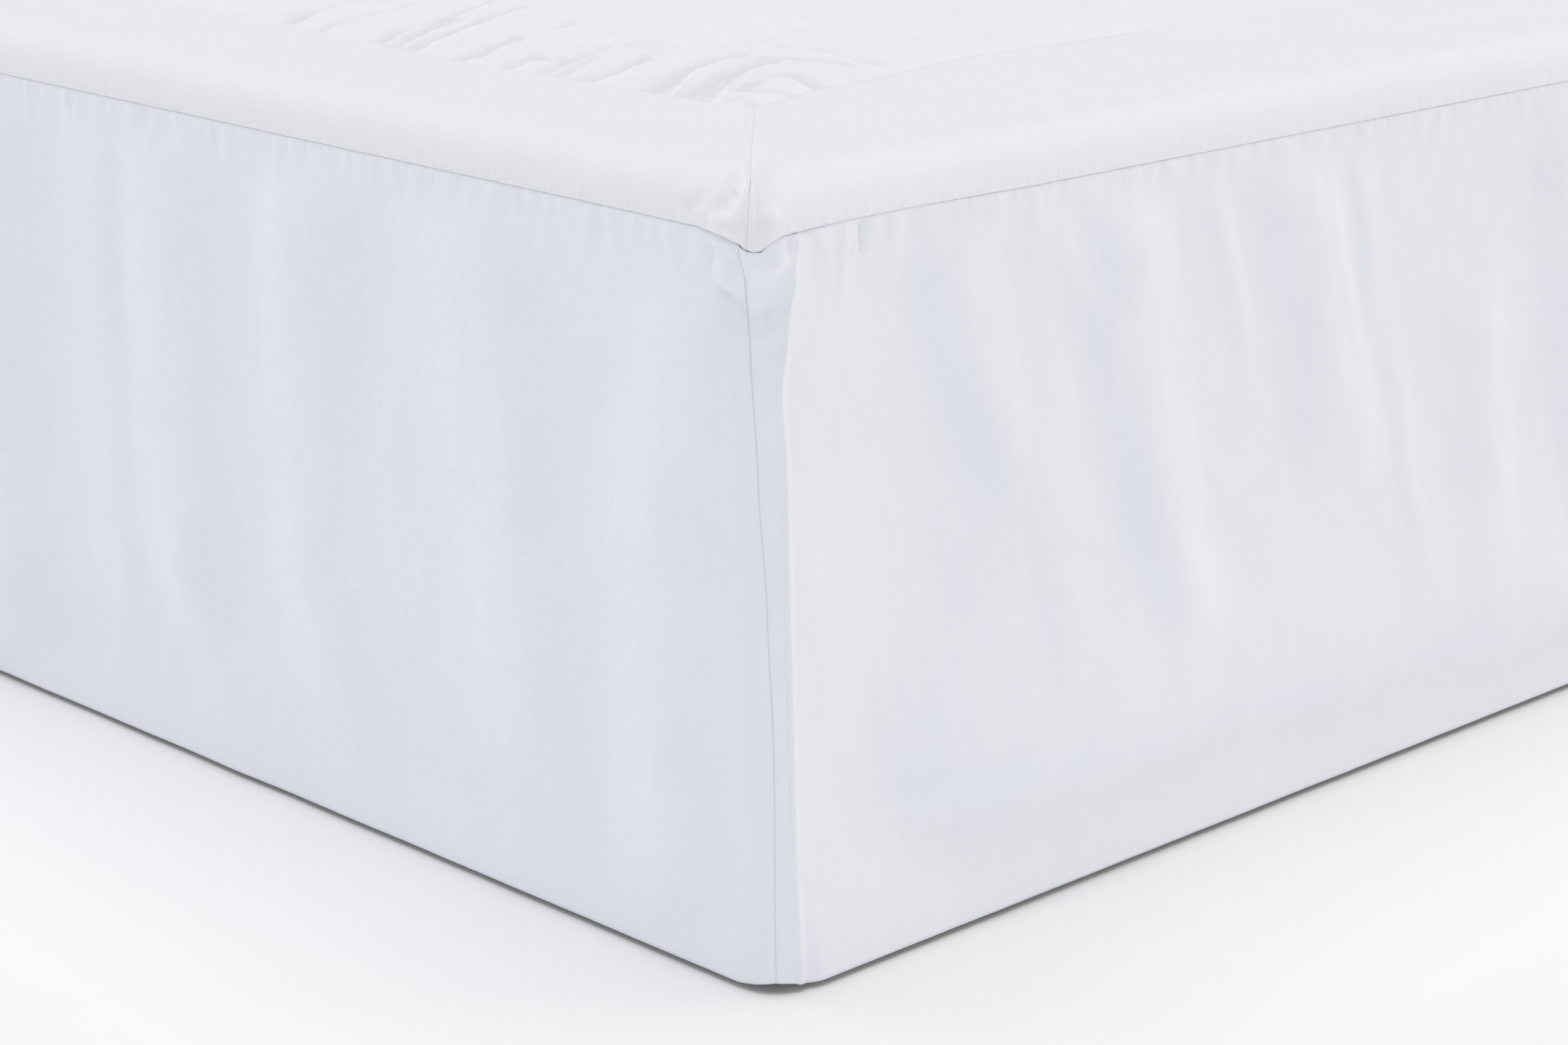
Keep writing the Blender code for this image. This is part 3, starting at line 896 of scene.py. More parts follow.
class ThickThreads(Effect):
    """Threads that are here and there a little thicker, both ways of the cloth."""

    name = "thick_threads"
    inputs = (("Scale", "Float", 1.0),)
    outputs = (("Height", "Float"),)
    lengthways = 38.0
    across = 900.0

    def fill(self, nodes: Nodes, entry: bpy.types.Node) -> dict[str, Socket]:
        """Add long narrow noise along the warp and along the weft.

        Args:
            nodes: Adds and joins the group's nodes.
            entry: The group's input node.

        Returns:
            The socket that feeds each output.
        """
        ways = []
        for scale in ((self.lengthways, self.across, 1.0), (self.across, self.lengthways, 1.0)):
            stretch = nodes.stretched(entry.outputs["Vector"], scale)
            thread = nodes.noise(stretch, entry.outputs["Scale"], 3.0)
            ways.append(nodes.math("POWER", thread, 2.0))
        return {"Height": nodes.math("ADD", *ways)}


class SoftMottle(Effect):
    """Broad faint unevenness of a washed cloth's tone, with finer specks."""

    name = "soft_mottle"
    inputs = (("Scale", "Float", 14.0), ("Fine Scale", "Float", 240.0))
    outputs = (("Broad", "Float"), ("Fine", "Float"))

    def fill(self, nodes: Nodes, entry: bpy.types.Node) -> dict[str, Socket]:
        """Add a broad and a fine noise.

        Args:
            nodes: Adds and joins the group's nodes.
            entry: The group's input node.

        Returns:
            The socket that feeds each output.
        """
        vector = entry.outputs["Vector"]
        return {
            "Broad": nodes.noise(vector, entry.outputs["Scale"], 3.0),
            "Fine": nodes.noise(vector, entry.outputs["Fine Scale"], 2.0),
        }


class SeamPuckers(Effect):
    """Fine short puckers across the cloth next to a seam that runs along the cloth's first coordinate."""

    name = "seam_puckers"
    inputs = (("Seam Place", "Float", 0.0), ("Reach", "Float", 0.014), ("Spacing", "Float", 0.005))
    outputs = (("Height", "Float"),)
    drawn_out = 0.15
    fade_power = 1.5

    def fill(self, nodes: Nodes, entry: bpy.types.Node) -> dict[str, Socket]:
        """Add noise that is drawn out away from the seam and fades with the distance from it.

        Args:
            nodes: Adds and joins the group's nodes.
            entry: The group's input node.

        Returns:
            The socket that feeds each output.
        """
        split = nodes.add("ShaderNodeSeparateXYZ", {0: entry.outputs["Vector"]})
        away = nodes.math("ABSOLUTE", nodes.math("SUBTRACT", split.outputs[1], entry.outputs["Seam Place"]))
        away = nodes.math("DIVIDE", away, entry.outputs["Reach"])
        fade = nodes.math("MAXIMUM", nodes.math("SUBTRACT", 1.0, away), 0.0)
        vector = nodes.stretched(entry.outputs["Vector"], (1.0, self.drawn_out, 1.0))
        gathers = nodes.noise(vector, nodes.math("DIVIDE", 1.0, entry.outputs["Spacing"]), 1.0)
        fade = nodes.math("POWER", fade, self.fade_power)
        return {"Height": nodes.math("MULTIPLY", gathers, fade)}


class SharpCreases(Effect):
    """Sharp irregular crease lines with soft facets between them, as in thin crumpled cloth."""

    name = "sharp_creases"
    inputs = (("Scale", "Float", 24.0), ("Warp", "Float", 0.030))
    outputs = (("Height", "Float"),)
    warp_scale = 14.0
    facet = 0.25

    def fill(self, nodes: Nodes, entry: bpy.types.Node) -> dict[str, Socket]:
        """Add the distance to the edges of warped cells, as ridges at the edges.

        Args:
            nodes: Adds and joins the group's nodes.
            entry: The group's input node.

        Returns:
            The socket that feeds each output.
        """
        vector = entry.outputs["Vector"]
        values = {"Vector": vector, "Scale": self.warp_scale, "Detail": 2.0}
        warp = nodes.add("ShaderNodeTexNoise", values).outputs["Color"]
        values = {0: warp, 1: entry.outputs["Warp"], 2: vector}
        moved = nodes.add("ShaderNodeVectorMath", values, operation="MULTIPLY_ADD").outputs[0]
        values = {"Vector": moved, "Scale": entry.outputs["Scale"]}
        cells = nodes.add("ShaderNodeTexVoronoi", values, feature="DISTANCE_TO_EDGE")
        away = nodes.math("MINIMUM", cells.outputs["Distance"], self.facet)
        return {"Height": nodes.math("SUBTRACT", 1.0, nodes.math("MULTIPLY", away, 1.0 / self.facet))}


WEAVE = PlainWeave()
THICK_THREADS = ThickThreads()
MOTTLE = SoftMottle()
SEAM_PUCKERS = SeamPuckers()
SHARP_CREASES = SharpCreases()


# Finishes


def opaque(colour: Colour, share: float = 1.0) -> tuple[float, ...]:
    """Return a share of a colour, as a socket takes it."""
    return (*(share * channel for channel in colour), 1.0)


def new_material(name: str) -> tuple[bpy.types.Material, Nodes, bpy.types.Node]:
    """Start a material.

    Args:
        name: Its name.

    Returns:
        The material, a way to add nodes to it, and its Principled shader.
    """
    material = bpy.data.materials.new(name)
    material.use_nodes = True
    return material, Nodes(material.node_tree), material.node_tree.nodes["Principled BSDF"]


@dataclass(frozen=True)
class ClothFinish:
    """A woven cloth: its colour, its thread and how far its surface varies."""

    name: str
    colour: Colour
    shade: Colour
    roughness: float = 0.90
    shine: float = 0.0
    thread: float = 0.00045
    weave_depth: float = 0.000035
    thick_thread_depth: float = 0.00004
    wrinkle_depth: float = 0.00012
    wrinkle_scale: float = 95.0
    crease_depth: float = 0.0
    # How far a point attribute darkens the colour, as painted shade in the deck's tucks
    painted_crease_shade: float = 0.0
    pucker_depth: float = 0.0
    seam_place: float = 0.0
    gap_share: float = 0.10
    gap_tone: float = 0.82
    # Share of the shade colour that the painted shade in the tucks darkens towards
    painted_tuck_shade: float = 0.5
    roughness_range: float = 0.10

    def material(self) -> bpy.types.Material:
        """Make the cloth's material.

        Returns:
            The material, for a mesh with a map of the flat cloth in metres.
        """
        material, nodes, shader = new_material(self.name)
        vector = nodes.add("ShaderNodeUVMap", uv_map=CLOTH_MAP).outputs[0]
        weave = WEAVE.place(nodes, vector, pitch=self.thread)
        thick = THICK_THREADS.place(nodes, vector)
        mottle = MOTTLE.place(nodes, vector)
        tone = nodes.blend(mottle.outputs["Broad"], opaque(self.shade), opaque(self.colour))
        gap_shade = nodes.math("MULTIPLY", weave.outputs["Gaps"], self.gap_share)
        tone = nodes.blend(gap_shade, tone, opaque(self.shade, self.gap_tone))
        # Painted shade: a point attribute darkens the colour along the deck's tucks
        if self.painted_crease_shade:
            tucks_and_painted_shade = nodes.add("ShaderNodeAttribute", attribute_name=PAINTED_CREASE_SHADE).outputs["Fac"]
            tucks_and_painted_shade = nodes.math("MULTIPLY", tucks_and_painted_shade, self.painted_crease_shade)
            tone = nodes.blend(tucks_and_painted_shade, tone, opaque(self.shade, self.painted_tuck_shade))
        smoothest = self.roughness - self.roughness_range / 2
        rough = nodes.math("MULTIPLY_ADD", mottle.outputs["Fine"], self.roughness_range, smoothest)
        wrinkle = nodes.noise(vector, self.wrinkle_scale, 3.0)
        threads = nodes.math("MULTIPLY", weave.outputs["Height"], self.weave_depth)
        threads = nodes.math("MULTIPLY_ADD", thick.outputs["Height"], self.thick_thread_depth, threads)
        height = nodes.math("MULTIPLY_ADD", wrinkle, self.wrinkle_depth, threads)
        if self.pucker_depth:
            gathers = SEAM_PUCKERS.place(nodes, vector, seam_place=self.seam_place)
            height = nodes.math("MULTIPLY_ADD", gathers.outputs[0], self.pucker_depth, height)
        if self.crease_depth:
            creases = SHARP_CREASES.place(nodes, vector)
            height = nodes.math("MULTIPLY_ADD", creases.outputs[0], self.crease_depth, height)
        nodes.feed(shader, {"Base Color": tone, "Roughness": rough, "Normal": nodes.bumped(height)})
        nodes.feed(shader, {"Specular IOR Level": self.shine})
        return material


@dataclass(frozen=True)
class CoatFinish:
    """A powder coat or a rubber: a colour with a fine grain and faint wear."""

    name: str
    colour: Colour
    worn: Colour
    roughness: float
    metallic: float
    grain_scale: float
    grain_depth: float
    mottle_scale: float = 30.0
    wear_share: float = 0.8
    roughness_range: float = 0.16

    def material(self) -> bpy.types.Material:
        """Make the coat's material.

        Returns:
            The material, for an object that is measured in metres.
        """
        material, nodes, shader = new_material(self.name)
        vector = nodes.add("ShaderNodeTexCoord").outputs["Object"]
        mottle = MOTTLE.place(nodes, vector, scale=self.mottle_scale, fine_scale=self.grain_scale)
        wear = nodes.math("MULTIPLY", nodes.math("POWER", mottle.outputs["Broad"], 3.0), self.wear_share)
        tone = nodes.blend(wear, opaque(self.colour), opaque(self.worn))
        smoothest = self.roughness - self.roughness_range / 2
        rough = nodes.math("MULTIPLY_ADD", mottle.outputs["Fine"], self.roughness_range, smoothest)
        height = nodes.math("MULTIPLY", mottle.outputs["Fine"], self.grain_depth)
        nodes.feed(shader, {"Base Color": tone, "Roughness": rough, "Normal": nodes.bumped(height)})
        nodes.feed(shader, {"Metallic": self.metallic})
        return material


@dataclass(frozen=True)
class FloorFinish:
    """A pale even floor, a little uneven in tone and in roughness."""

    name: str
    colour: Colour
    shade_share: float = 0.985
    mottle_scale: float = 1.2
    fine_scale: float = 160.0
    roughness: float = 0.62
    roughness_range: float = 0.08
    shine: float = 0.2

    def material(self) -> bpy.types.Material:
        """Make the floor's material.

        Returns:
            The material, for an object that is measured in metres.
        """
        material, nodes, shader = new_material(self.name)
        vector = nodes.add("ShaderNodeTexCoord").outputs["Object"]
        mottle = MOTTLE.place(nodes, vector, scale=self.mottle_scale, fine_scale=self.fine_scale)
        shade = opaque(self.colour, self.shade_share)
        tone = nodes.blend(mottle.outputs["Broad"], opaque(self.colour), shade)
        rough = nodes.math("MULTIPLY_ADD", mottle.outputs["Fine"], self.roughness_range, self.roughness)
        nodes.feed(shader, {"Base Color": tone, "Roughness": rough, "Specular IOR Level": self.shine})
        return material


DROP_COTTON = ClothFinish(
    "drop_cotton",
    (0.859, 0.877, 0.927),
    (0.824, 0.842, 0.890),
    wrinkle_depth=0.00017,
    pucker_depth=0.0016,
    seam_place=0.356,
)
BORDER_COTTON = ClothFinish(
    "border_cotton", (0.860, 0.871, 0.907), (0.834, 0.845, 0.880), wrinkle_depth=0.00024, pucker_depth=0.0016
)
DECK_COTTON = ClothFinish(
    "deck_cotton",
    (0.868, 0.880, 0.916),
    (0.845, 0.856, 0.891),
    wrinkle_depth=0.0003,
    wrinkle_scale=60.0,
    crease_depth=0.0006,
    # Painted shade in the tucks
    painted_crease_shade=0.125,
)
TICKING = ClothFinish("ticking", (0.80, 0.80, 0.79), (0.74, 0.74, 0.73), thread=0.0011, weave_depth=0.00012)
POWDER_COAT = CoatFinish("powder_coat", (0.055, 0.058, 0.062), (0.10, 0.10, 0.105), 0.45, 0.3, 900.0, 0.00006)
RUBBER = CoatFinish("pad_rubber", (0.020, 0.020, 0.021), (0.045, 0.045, 0.045), 0.72, 0.0, 1400.0, 0.00005)
PALE_FLOOR = FloorFinish("pale_floor", (0.962, 0.960, 0.960))


# The drops


@dataclass(frozen=True)
class Relief:
    """What stands out of a drop's even surface: its folds, its long low crease and its unevenness."""

    folds: Sequence[Fold]
    seed: int
    crease: bool = False
    fold_start: float = 0.045
    fold_end: float = 0.065
    # How far a crest keeps its course past its low and its top end, as shares of its length
    course: Span = (-0.3, 1.2)
    crease_depth: float = 0.0135
    crease_under: float = 0.040
    crease_over: float = 0.090
    crease_start: float = 0.090
    hollow: float = 0.0032
    hollow_height: float = 0.042
    crease_heights: Table = (
        (0.00, 0.088),
        (0.12, 0.086),
        (0.23, 0.083),
        (0.35, 0.079),
        (0.45, 0.071),
        (0.60, 0.064),
        (0.90, 0.078),
    )
    hem_share: float = 0.25
    hem_reach: float = 0.055
    kick: float = 0.0034
    kick_height: float = 0.042
    lean: float = 0.25
    held_at_seam: float = 0.020
    wander: Waviness = Waviness(0.005, (0.052, 0.090), 90)
    swell: Waviness = Waviness(0.30, (0.075, 0.120), 140)
    crease_sway: Waviness = Waviness(0.006, (0.110, 0.050), 7)
    crease_swell: Waviness = Waviness(0.35, (0.130, 0.200), 8)
    broad: Waviness = Waviness(0.0011, (0.046, 0.085), 0)
    middling: Waviness = Waviness(0.000385, (0.024, 0.042), 1)
    small: Waviness = Waviness(0.00030, (0.011, 0.017), 2)

    def folds_at(self, place: Array, height: Array, drop: float) -> Array:
        """Let the folds stand out of the drop.

        Args:
            place: Places along the drop.
            height: Heights above its hem.
            drop: Height of the whole drop.

        Returns:
            How far each point stands out.
        """
        depth = np.zeros(place.shape)
        for number, fold in enumerate(self.folds):
            (low, low_z), (middle, middle_z), (top, top_z) = fold.low, fold.middle, fold.top
            share = np.clip((height - low_z) / (top_z - low_z), *self.course)
            bow = middle - mixed(low, top, (middle_z - low_z) / (top_z - low_z))
            crest = mixed(low, top, share) + bow * (1.0 - (2.0 * share - 1.0) ** 2)
            offset = place - crest - self.wander.at(height, place, self.seed + number)
            across = hump(offset, np.where(offset < 0.0, fold.near, fold.far))
            start = ease((min(drop, top_z + self.fold_start) - height) / self.fold_start)
            end = ease((height - low_z + self.fold_end) / self.fold_end)
            swell = 1.0 + self.swell.at(height, place, self.seed + number)
            depth = depth + fold.proud * swell * across * start * end
        return depth

    def at(self, place: Array, height: Array, drop: float) -> Array:
        """Find the whole relief, without what the seams do to the cloth.

        Args:
            place: Places along the drop.
            height: Heights above its hem.
            drop: Height of the whole drop.

        Returns:
            How far each point stands out.
        """
        depth = self.folds_at(place, height, drop)
        if self.crease:
            grows = ease((place - self.crease_start / 2) / self.crease_start)
            sway = self.crease_sway.at(place, height, self.seed)
            offset = height - along(self.crease_heights, place) - sway
            reach = np.where(offset < 0.0, self.crease_under, self.crease_over)
            swell = 1.0 + self.crease_swell.at(place, height, self.seed)
            depth = depth + self.crease_depth * swell * grows * hump(offset, reach)
        leaned = place + self.lean * height
        uneven = self.broad.at(leaned, height, self.seed) + self.middling.at(leaned, height, self.seed)
        uneven = uneven + self.small.at(place, height, self.seed)
        held = ease((drop - height) / self.held_at_seam)
        depth = (depth + held * uneven) * mixed(self.hem_share, 1.0, ease(height / self.hem_reach))
        depth = depth + self.kick * ease(1.0 - height / self.kick_height)
        if self.crease:
            depth = depth - self.hollow * grows * hump(height - self.hollow_height, self.hollow_height)
        return depth


@dataclass(frozen=True)
class Drop:
    """A flat drop that hangs from the border's seam to just above the floor."""

    bed: Bed
    corner: FootCorner
    material: bpy.types.Material
    relief: Relief
    thickness: float = 0.0010
    groove: float = 0.0007
    side_groove: float = 0.0004
    groove_reach: float = 0.0022
    pucker_depth: float = 0.0015
    pucker_length: float = 0.046
    pucker_spacing: Span = (0.008, 0.022)
    pucker_start: float = 0.003
    corner_columns: int = 14
    pinches: Sequence[Crease] = ()
    # Rows up the cloth, as a start, an end and a spacing. The last ones run up to the seam
    rows: Steps = ((0.0, 0.006, 0.002), (0.006, 0.300, 0.0038), (0.300, 0.346, 0.0021))
    top_spacing: float = 0.0010

    @property
    def heights(self) -> Array:
        """Heights of the cloth's rows above the hem, as one column of numbers."""
        return graded(*self.rows, (self.rows[-1][1], self.bed.drop, self.top_spacing))[:, None]

    def seam_relief(self, place: Array, height: Array, lateral: Array) -> Array:
        """Find what the top seam does to the cloth: its groove, its puckers and the pinches near the corner.

        Args:
            place: Places along the drop.
            height: Heights above its hem.
            lateral: Distances across the corner's diagonal.

        Returns:
            How far each point stands out.
        """
        below = self.bed.drop - height
        gathered = puckers(place, below, self.pucker_spacing, self.pucker_length, self.relief.seed + 20)
        groove = self.groove * self.bed.seam_pull(lateral) * hump(below, self.groove_reach)
        gathered = self.pucker_depth * gathered * ease(below / self.pucker_start)
        return gathered - groove + creased(place, height, self.pinches)

    def hung(self, x: Array, y: Array, lateral: Array, relief: Array) -> Array:
        """Hang plan points between the hem and the top seam, and let their relief stand out of them.

        Args:
            x: Plan points, with one row for each height.
            y: The same points' other coordinate.
            lateral: The same points' distance across the corner's diagonal, positive towards the side.
            relief: How far each point stands out.

        Returns:
            The cloth's points.
        """
        hem, seam = self.bed.hem_height, self.bed.seam_height(lateral)
        z = hem + self.heights / self.bed.drop * (seam - hem - GAP)
        z = z + self.corner.hem_lift(lateral, self.heights)
        even = np.stack(np.broadcast_arrays(x, y, z), axis=-1)
        return even + relief[..., None] * outward_normals(even)

    def shares(self, steps: Steps) -> Array:
        """Return graded places as shares of their whole stretch, as one row of numbers."""
        places = graded(*steps)
        return ((places - places[0]) / (places[-1] - places[0]))[None, :]

    def made(self, name: str, node: str, points: Array) -> bpy.types.Object:
        """Args:
            name: Name of the new object.
            node: The solid that it replaces.
            points: Rows and columns of the cloth's points.

        Returns:
            The finished object.
        """
        place, height = walked(points), np.broadcast_to(self.heights, points.shape[:2])
        cloth_map = np.stack((place, height), axis=-1)
        obj = sheet_object(name, points, cloth_map, self.thickness, self.material)
        dressed(obj, node)
        return obj


@dataclass(frozen=True)
class SideDrop(Drop):
    """A side drop, with the strip over its turned seam allowance round the foot corner."""

    face: Face = Face.RIGHT
    steps: Steps = (
        (0.000, 0.006, 0.0008),
        (0.006, 0.070, 0.0017),
        (0.070, 0.640, 0.0028),
        (0.640, 2.000, 0.0125),
    )
    bead: float = 0.0010
    bead_reach: float = 0.0018
    bead_fall: float = 0.0032
    strip_depth: float = 0.0019
    # The strip's puckers: their low end's share of the depth, where and over how far they grow to all of it,
    # their spacing, and the share of them that dents the cloth
    strip_share: float = 0.18
    strip_start: float = 0.080
    strip_rise: float = 0.260
    strip_spacing: Span = (0.011, 0.023)
    strip_level: float = 0.35
    arris_reach: float = 0.009

    def strip_relief(self, across: Array, width: Array, height: Array) -> Array:
        """Return the relief of the strip over the turned seam allowance.

        Args:
            across: Share of the way from the vertical seam to the arris, past 1 on the side.
            width: The strip's width.
            height: Height above the hem.

        Returns:
            The strip's relief, with the bead along its arris.
        """
        rise = ease((height - self.strip_start) / self.strip_rise) ** 2
        depth = self.strip_depth * mixed(self.strip_share, 1.0, rise)
        crossing = puckers(height, np.zeros(1), self.strip_spacing, 1.0, self.relief.seed + 40)
        body = np.sin(math.pi * np.clip(across, 0.0, 1.0))
        groove = -self.side_groove * hump(across * width, self.groove_reach)
        from_arris = (across - 1.0) * width
        bead = self.bead * hump(from_arris, np.where(from_arris < 0.0, self.bead_reach, self.bead_fall))
        return depth * body * (crossing - self.strip_level) + groove + bead

    def build(self) -> bpy.types.Object:
        """Returns:
            The finished object.
        """
        bed, height = self.bed, self.heights
        seam = along(self.corner.seam, height) + FINE_GAP / 2
        arris = along(self.corner.arris, height)
        strip = np.linspace(0.0, 1.0, self.corner_columns + 1)[None, :-1]
        end = bed.face_length / ROOT_TWO
        parts = (mixed(seam, arris, strip), mixed(arris, end, self.shares(self.steps)))
        lateral = np.concatenate(parts, axis=1)
        place, out = self.corner.place_and_out(lateral, height, self.face)
        across = (lateral - seam) / (arris - seam)
        relief = self.relief.at(place, height, bed.drop) * ease((lateral - arris) / self.arris_reach)
        relief = relief + self.seam_relief(place, height, lateral) * ease(across)
        relief = relief + self.strip_relief(across, arris - seam, height)
        relief = relief + creased(lateral, height, STRIP_PINCHES)
        x, y = bed.world(self.face, place, out + bed.flare(height))
        columns = slice(None, None, -1 if self.face is Face.LEFT else 1)
        points = self.hung(*(array[:, columns] for array in (x, y, lateral, relief)))
        return self.made(f"side_drop_{self.face.value}", f"drop_{self.face.value}", points)


@dataclass(frozen=True)
class FootDrop(Drop):
    """The foot drop, from one vertical corner seam to the other."""

    corner_end: float = 0.026
    corner_columns: int = 22
    right_steps: Steps = ((0.0, 0.600, 0.0028), (0.600, 0.735, 0.0075))
    left_steps: Steps = ((0.0, 0.735, 0.0100),)
    folds_start: float = 0.012
    puckers_start: float = 0.004

    def half(self, side: int, steps: Steps) -> tuple[Array, ...]:
        """Lay out one half of the drop.

        Args:
            side: 1 for the right half, -1 for the left one.
            steps: Spacing of the columns, from the corner to the middle.

        Returns:
            Each point's x, its distance out of the face, its distance across the corner's diagonal, and its
            distance from the vertical seam. Columns run from the seam to the middle.
        """
        height = self.heights
        seam = FINE_GAP / 2 - along(self.corner.seam, height)
        meeting = self.bed.half_x + self.bed.flare(height)
        corner = np.linspace(0.0, 1.0, self.corner_columns + 1)[None, :-1]
        straight = mixed(self.corner_end, meeting / ROOT_TWO, self.shares(steps))
        lateral = np.concatenate((mixed(seam, self.corner_end, corner), straight), axis=1)
        place, out = self.corner.place_and_out(lateral, height, Face.FOOT)
        return side * (meeting - place), out, lateral, (lateral - seam) * ROOT_TWO

    def build(self) -> bpy.types.Object:
        """Returns:
            The finished object.
        """
        bed, height = self.bed, self.heights
        halves = zip(self.half(-1, self.left_steps), self.half(1, self.right_steps))
        joined = (np.concatenate((left, right[:, -2::-1]), axis=1) for left, right in halves)
        x, out, lateral, from_seam = joined
        place = bed.half_x - x
        relief = self.relief.at(place, height, bed.drop) * ease(from_seam / self.folds_start)
        relief = relief + self.seam_relief(place, height, lateral) * ease(from_seam / self.puckers_start)
        relief = relief - self.side_groove * hump(from_seam, self.groove_reach)
        points = self.hung(x, -bed.half_y - out, -lateral, relief)
        return self.made("foot_drop", "drop_foot", points)


# The deck


@dataclass(frozen=True)
class BorderBand:
    """The smooth band round the deck: flat on the box spring, over its edge, and down to the drop's seam."""

    bed: Bed
    face: Face
    material: bpy.types.Material
    widths: Table
    seed: int
    left_widths: Table = ()
    pinches: Sequence[Crease] = ()
    lean: float = 0.0
    thickness: float = 0.0010
    fall: float = 0.003
    steps: Steps = ((0.0, 0.060, 0.0014), (0.060, 0.640, 0.0026), (0.640, 2.0, 0.012))
    mitre_shift: Table = ((1.0, 0.0040), (2.0, 0.0054), (3.0, 0.0058))
    groove: float = 0.0006
    groove_reach: float = 0.0020
    mitre_groove: float = 0.00032
    mitre_groove_reach: float = 0.0012
    # What a step along a row counts for across the slanting mitre
    mitre_slant: float = 0.7
    pucker_depth: float = 0.0005
    pucker_length: float = 0.016
    pucker_spacing: Span = (0.007, 0.016)
    pucker_start: float = 0.003
    soft: Waviness = Waviness(0.0006, (0.070, 0.050), 1)
    soft_start: float = 0.010
    soft_rise: float = 6.0
    lean_reach: float = 0.090
    fine_stretch: float = 0.004
    fine_spacing: float = 0.0006
    corner_spacing: float = 0.0015
    below_top: float = 0.0006
    # From 0 at the inner edge by 1 where the roll starts and 2 where it ends to 3 at the drop's seam
    rows: Steps = ((0.0, 0.03, 0.01), (0.03, 1.0, 0.036), (1.0, 2.0, 0.042), (2.0, 3.0, 0.25))

    @property
    def middle(self) -> float:
        """Height of the flat band's middle surface."""
        return self.bed.deck_top - self.below_top

    @property
    def straight(self) -> float:
        """Length of the edge between the corner's arcs."""
        if self.face is Face.FOOT:
            return 2 * (self.bed.half_x - self.bed.corner_radius)
        return self.bed.face_length - self.bed.corner_radius

    def inner_ends(self) -> tuple[float, float]:
        """Find where the band's inner edge starts and ends.

        Returns:
            The two places along the face.
        """
        first = self.widths[0][0] + FINE_GAP / 2
        if self.face is Face.FOOT:
            return first, 2 * self.bed.half_x - self.left_widths[0][1] - FINE_GAP / 2
        return first, self.bed.face_length

    def runs(self) -> Array:
        """Lay out the columns along the round edge.

        Returns:
            The run of each column, 0 where the first corner's arc ends.
        """
        arc = self.bed.corner_radius * math.pi / 4 - FINE_GAP / 2
        fine_end = self.fine_stretch - arc
        corner = graded((-arc, fine_end, self.fine_spacing), (fine_end, 0.0, self.corner_spacing))
        places = graded(*self.steps)
        straight = places / places[-1] * self.straight
        if self.face is Face.FOOT:
            return np.concatenate((corner, straight[1:-1], self.straight - corner[::-1]))
        return np.concatenate((corner, straight[1:]))

    def leaned(self, run: Array, rows: Array, reach: Array) -> Array:
        """Shift runs near the first corner, so that its mitre leans.

        Args:
            run: The run of each column.
            rows: The place of each row: 1 where the roll starts, 2 where it ends and 3 at the seam.
            reach: How far each row lies out of the box spring's roll, 0 at its end and negative before that.

        Returns:
            The shifted run of each point.
        """
        lateral, radius = along(self.mitre_shift, rows), self.bed.corner_radius + reach
        turn = np.arcsin(np.minimum(lateral / radius, 1.0 / ROOT_TWO))
        shift = self.bed.corner_radius * turn + np.maximum(lateral * ROOT_TWO - radius, 0.0)
        return run + self.lean * shift * ease(1.0 - (run - run[0, 0]) / self.lean_reach)

    def edge(self, run: Array) -> tuple[Array, ...]:
        """Follow the band's outer edge round its corners.

        Args:
            run: Runs along the edge, 0 where the first corner's arc ends.

        Returns:
            Each point's place along the face and distance out of it, and the edge's normal in the same
            terms.
        """
        radius = self.bed.corner_radius
        after = run - self.straight if self.face is Face.FOOT else -1.0
        around = np.maximum(np.maximum(-run, after), 0.0)
        turn = np.minimum(around / radius, math.pi / 2)
        past = np.maximum(around - radius * math.pi / 2, 0.0)
        sign = np.where(run < 0.0, -1.0, 1.0)
        place = radius + np.clip(run, 0.0, self.straight) + sign * radius * np.sin(turn)
        return place, -radius * (1.0 - np.cos(turn)) - past, sign * np.sin(turn), np.cos(turn)

    def tightened(self, place: Array, out: Array, reach: Array) -> tuple[Array, Array, Array]:
        """Draw the band's round corners outwards to a tighter radius.

        Args:
            place: Points of the band, along the face.
            out: The same points' distance out of the face.
            reach: How far each row lies out of the box spring's roll, 0 at its end and negative before that.

        Returns:
            The new places and distances out, and the distances across the corner, positive towards the side.
        """
        total = 2 * self.bed.half_x if self.face is Face.FOOT else math.inf
        after = place > total / 2
        near = np.where(after, total - place, place)
        lateral = (near + out) / ROOT_TWO
        radius = self.bed.corner_radius + reach
        tight = np.minimum(radius, self.bed.tight_radius)
        drawn = round_depth(lateral, radius) - round_depth(lateral, tight)
        near = near - drawn / ROOT_TWO
        across = -lateral if self.face is Face.FOOT else lateral
        return np.where(after, total - near, near), out + drawn / ROOT_TWO, across

    def from_mitre(self, points: Array) -> Array:
        """Measure how far points lie from the nearest mitre, along their row.

        Args:
            points: Rows and columns of points, from the first corner on.

        Returns:
            The distance of each point.
        """
        steps = np.linalg.norm(np.diff(points, axis=1), axis=-1)
        walk = np.pad(np.cumsum(steps, axis=1), ((0, 0), (1, 0)))
        return np.minimum(walk, walk[:, -1:] - walk) if self.face is Face.FOOT else walk

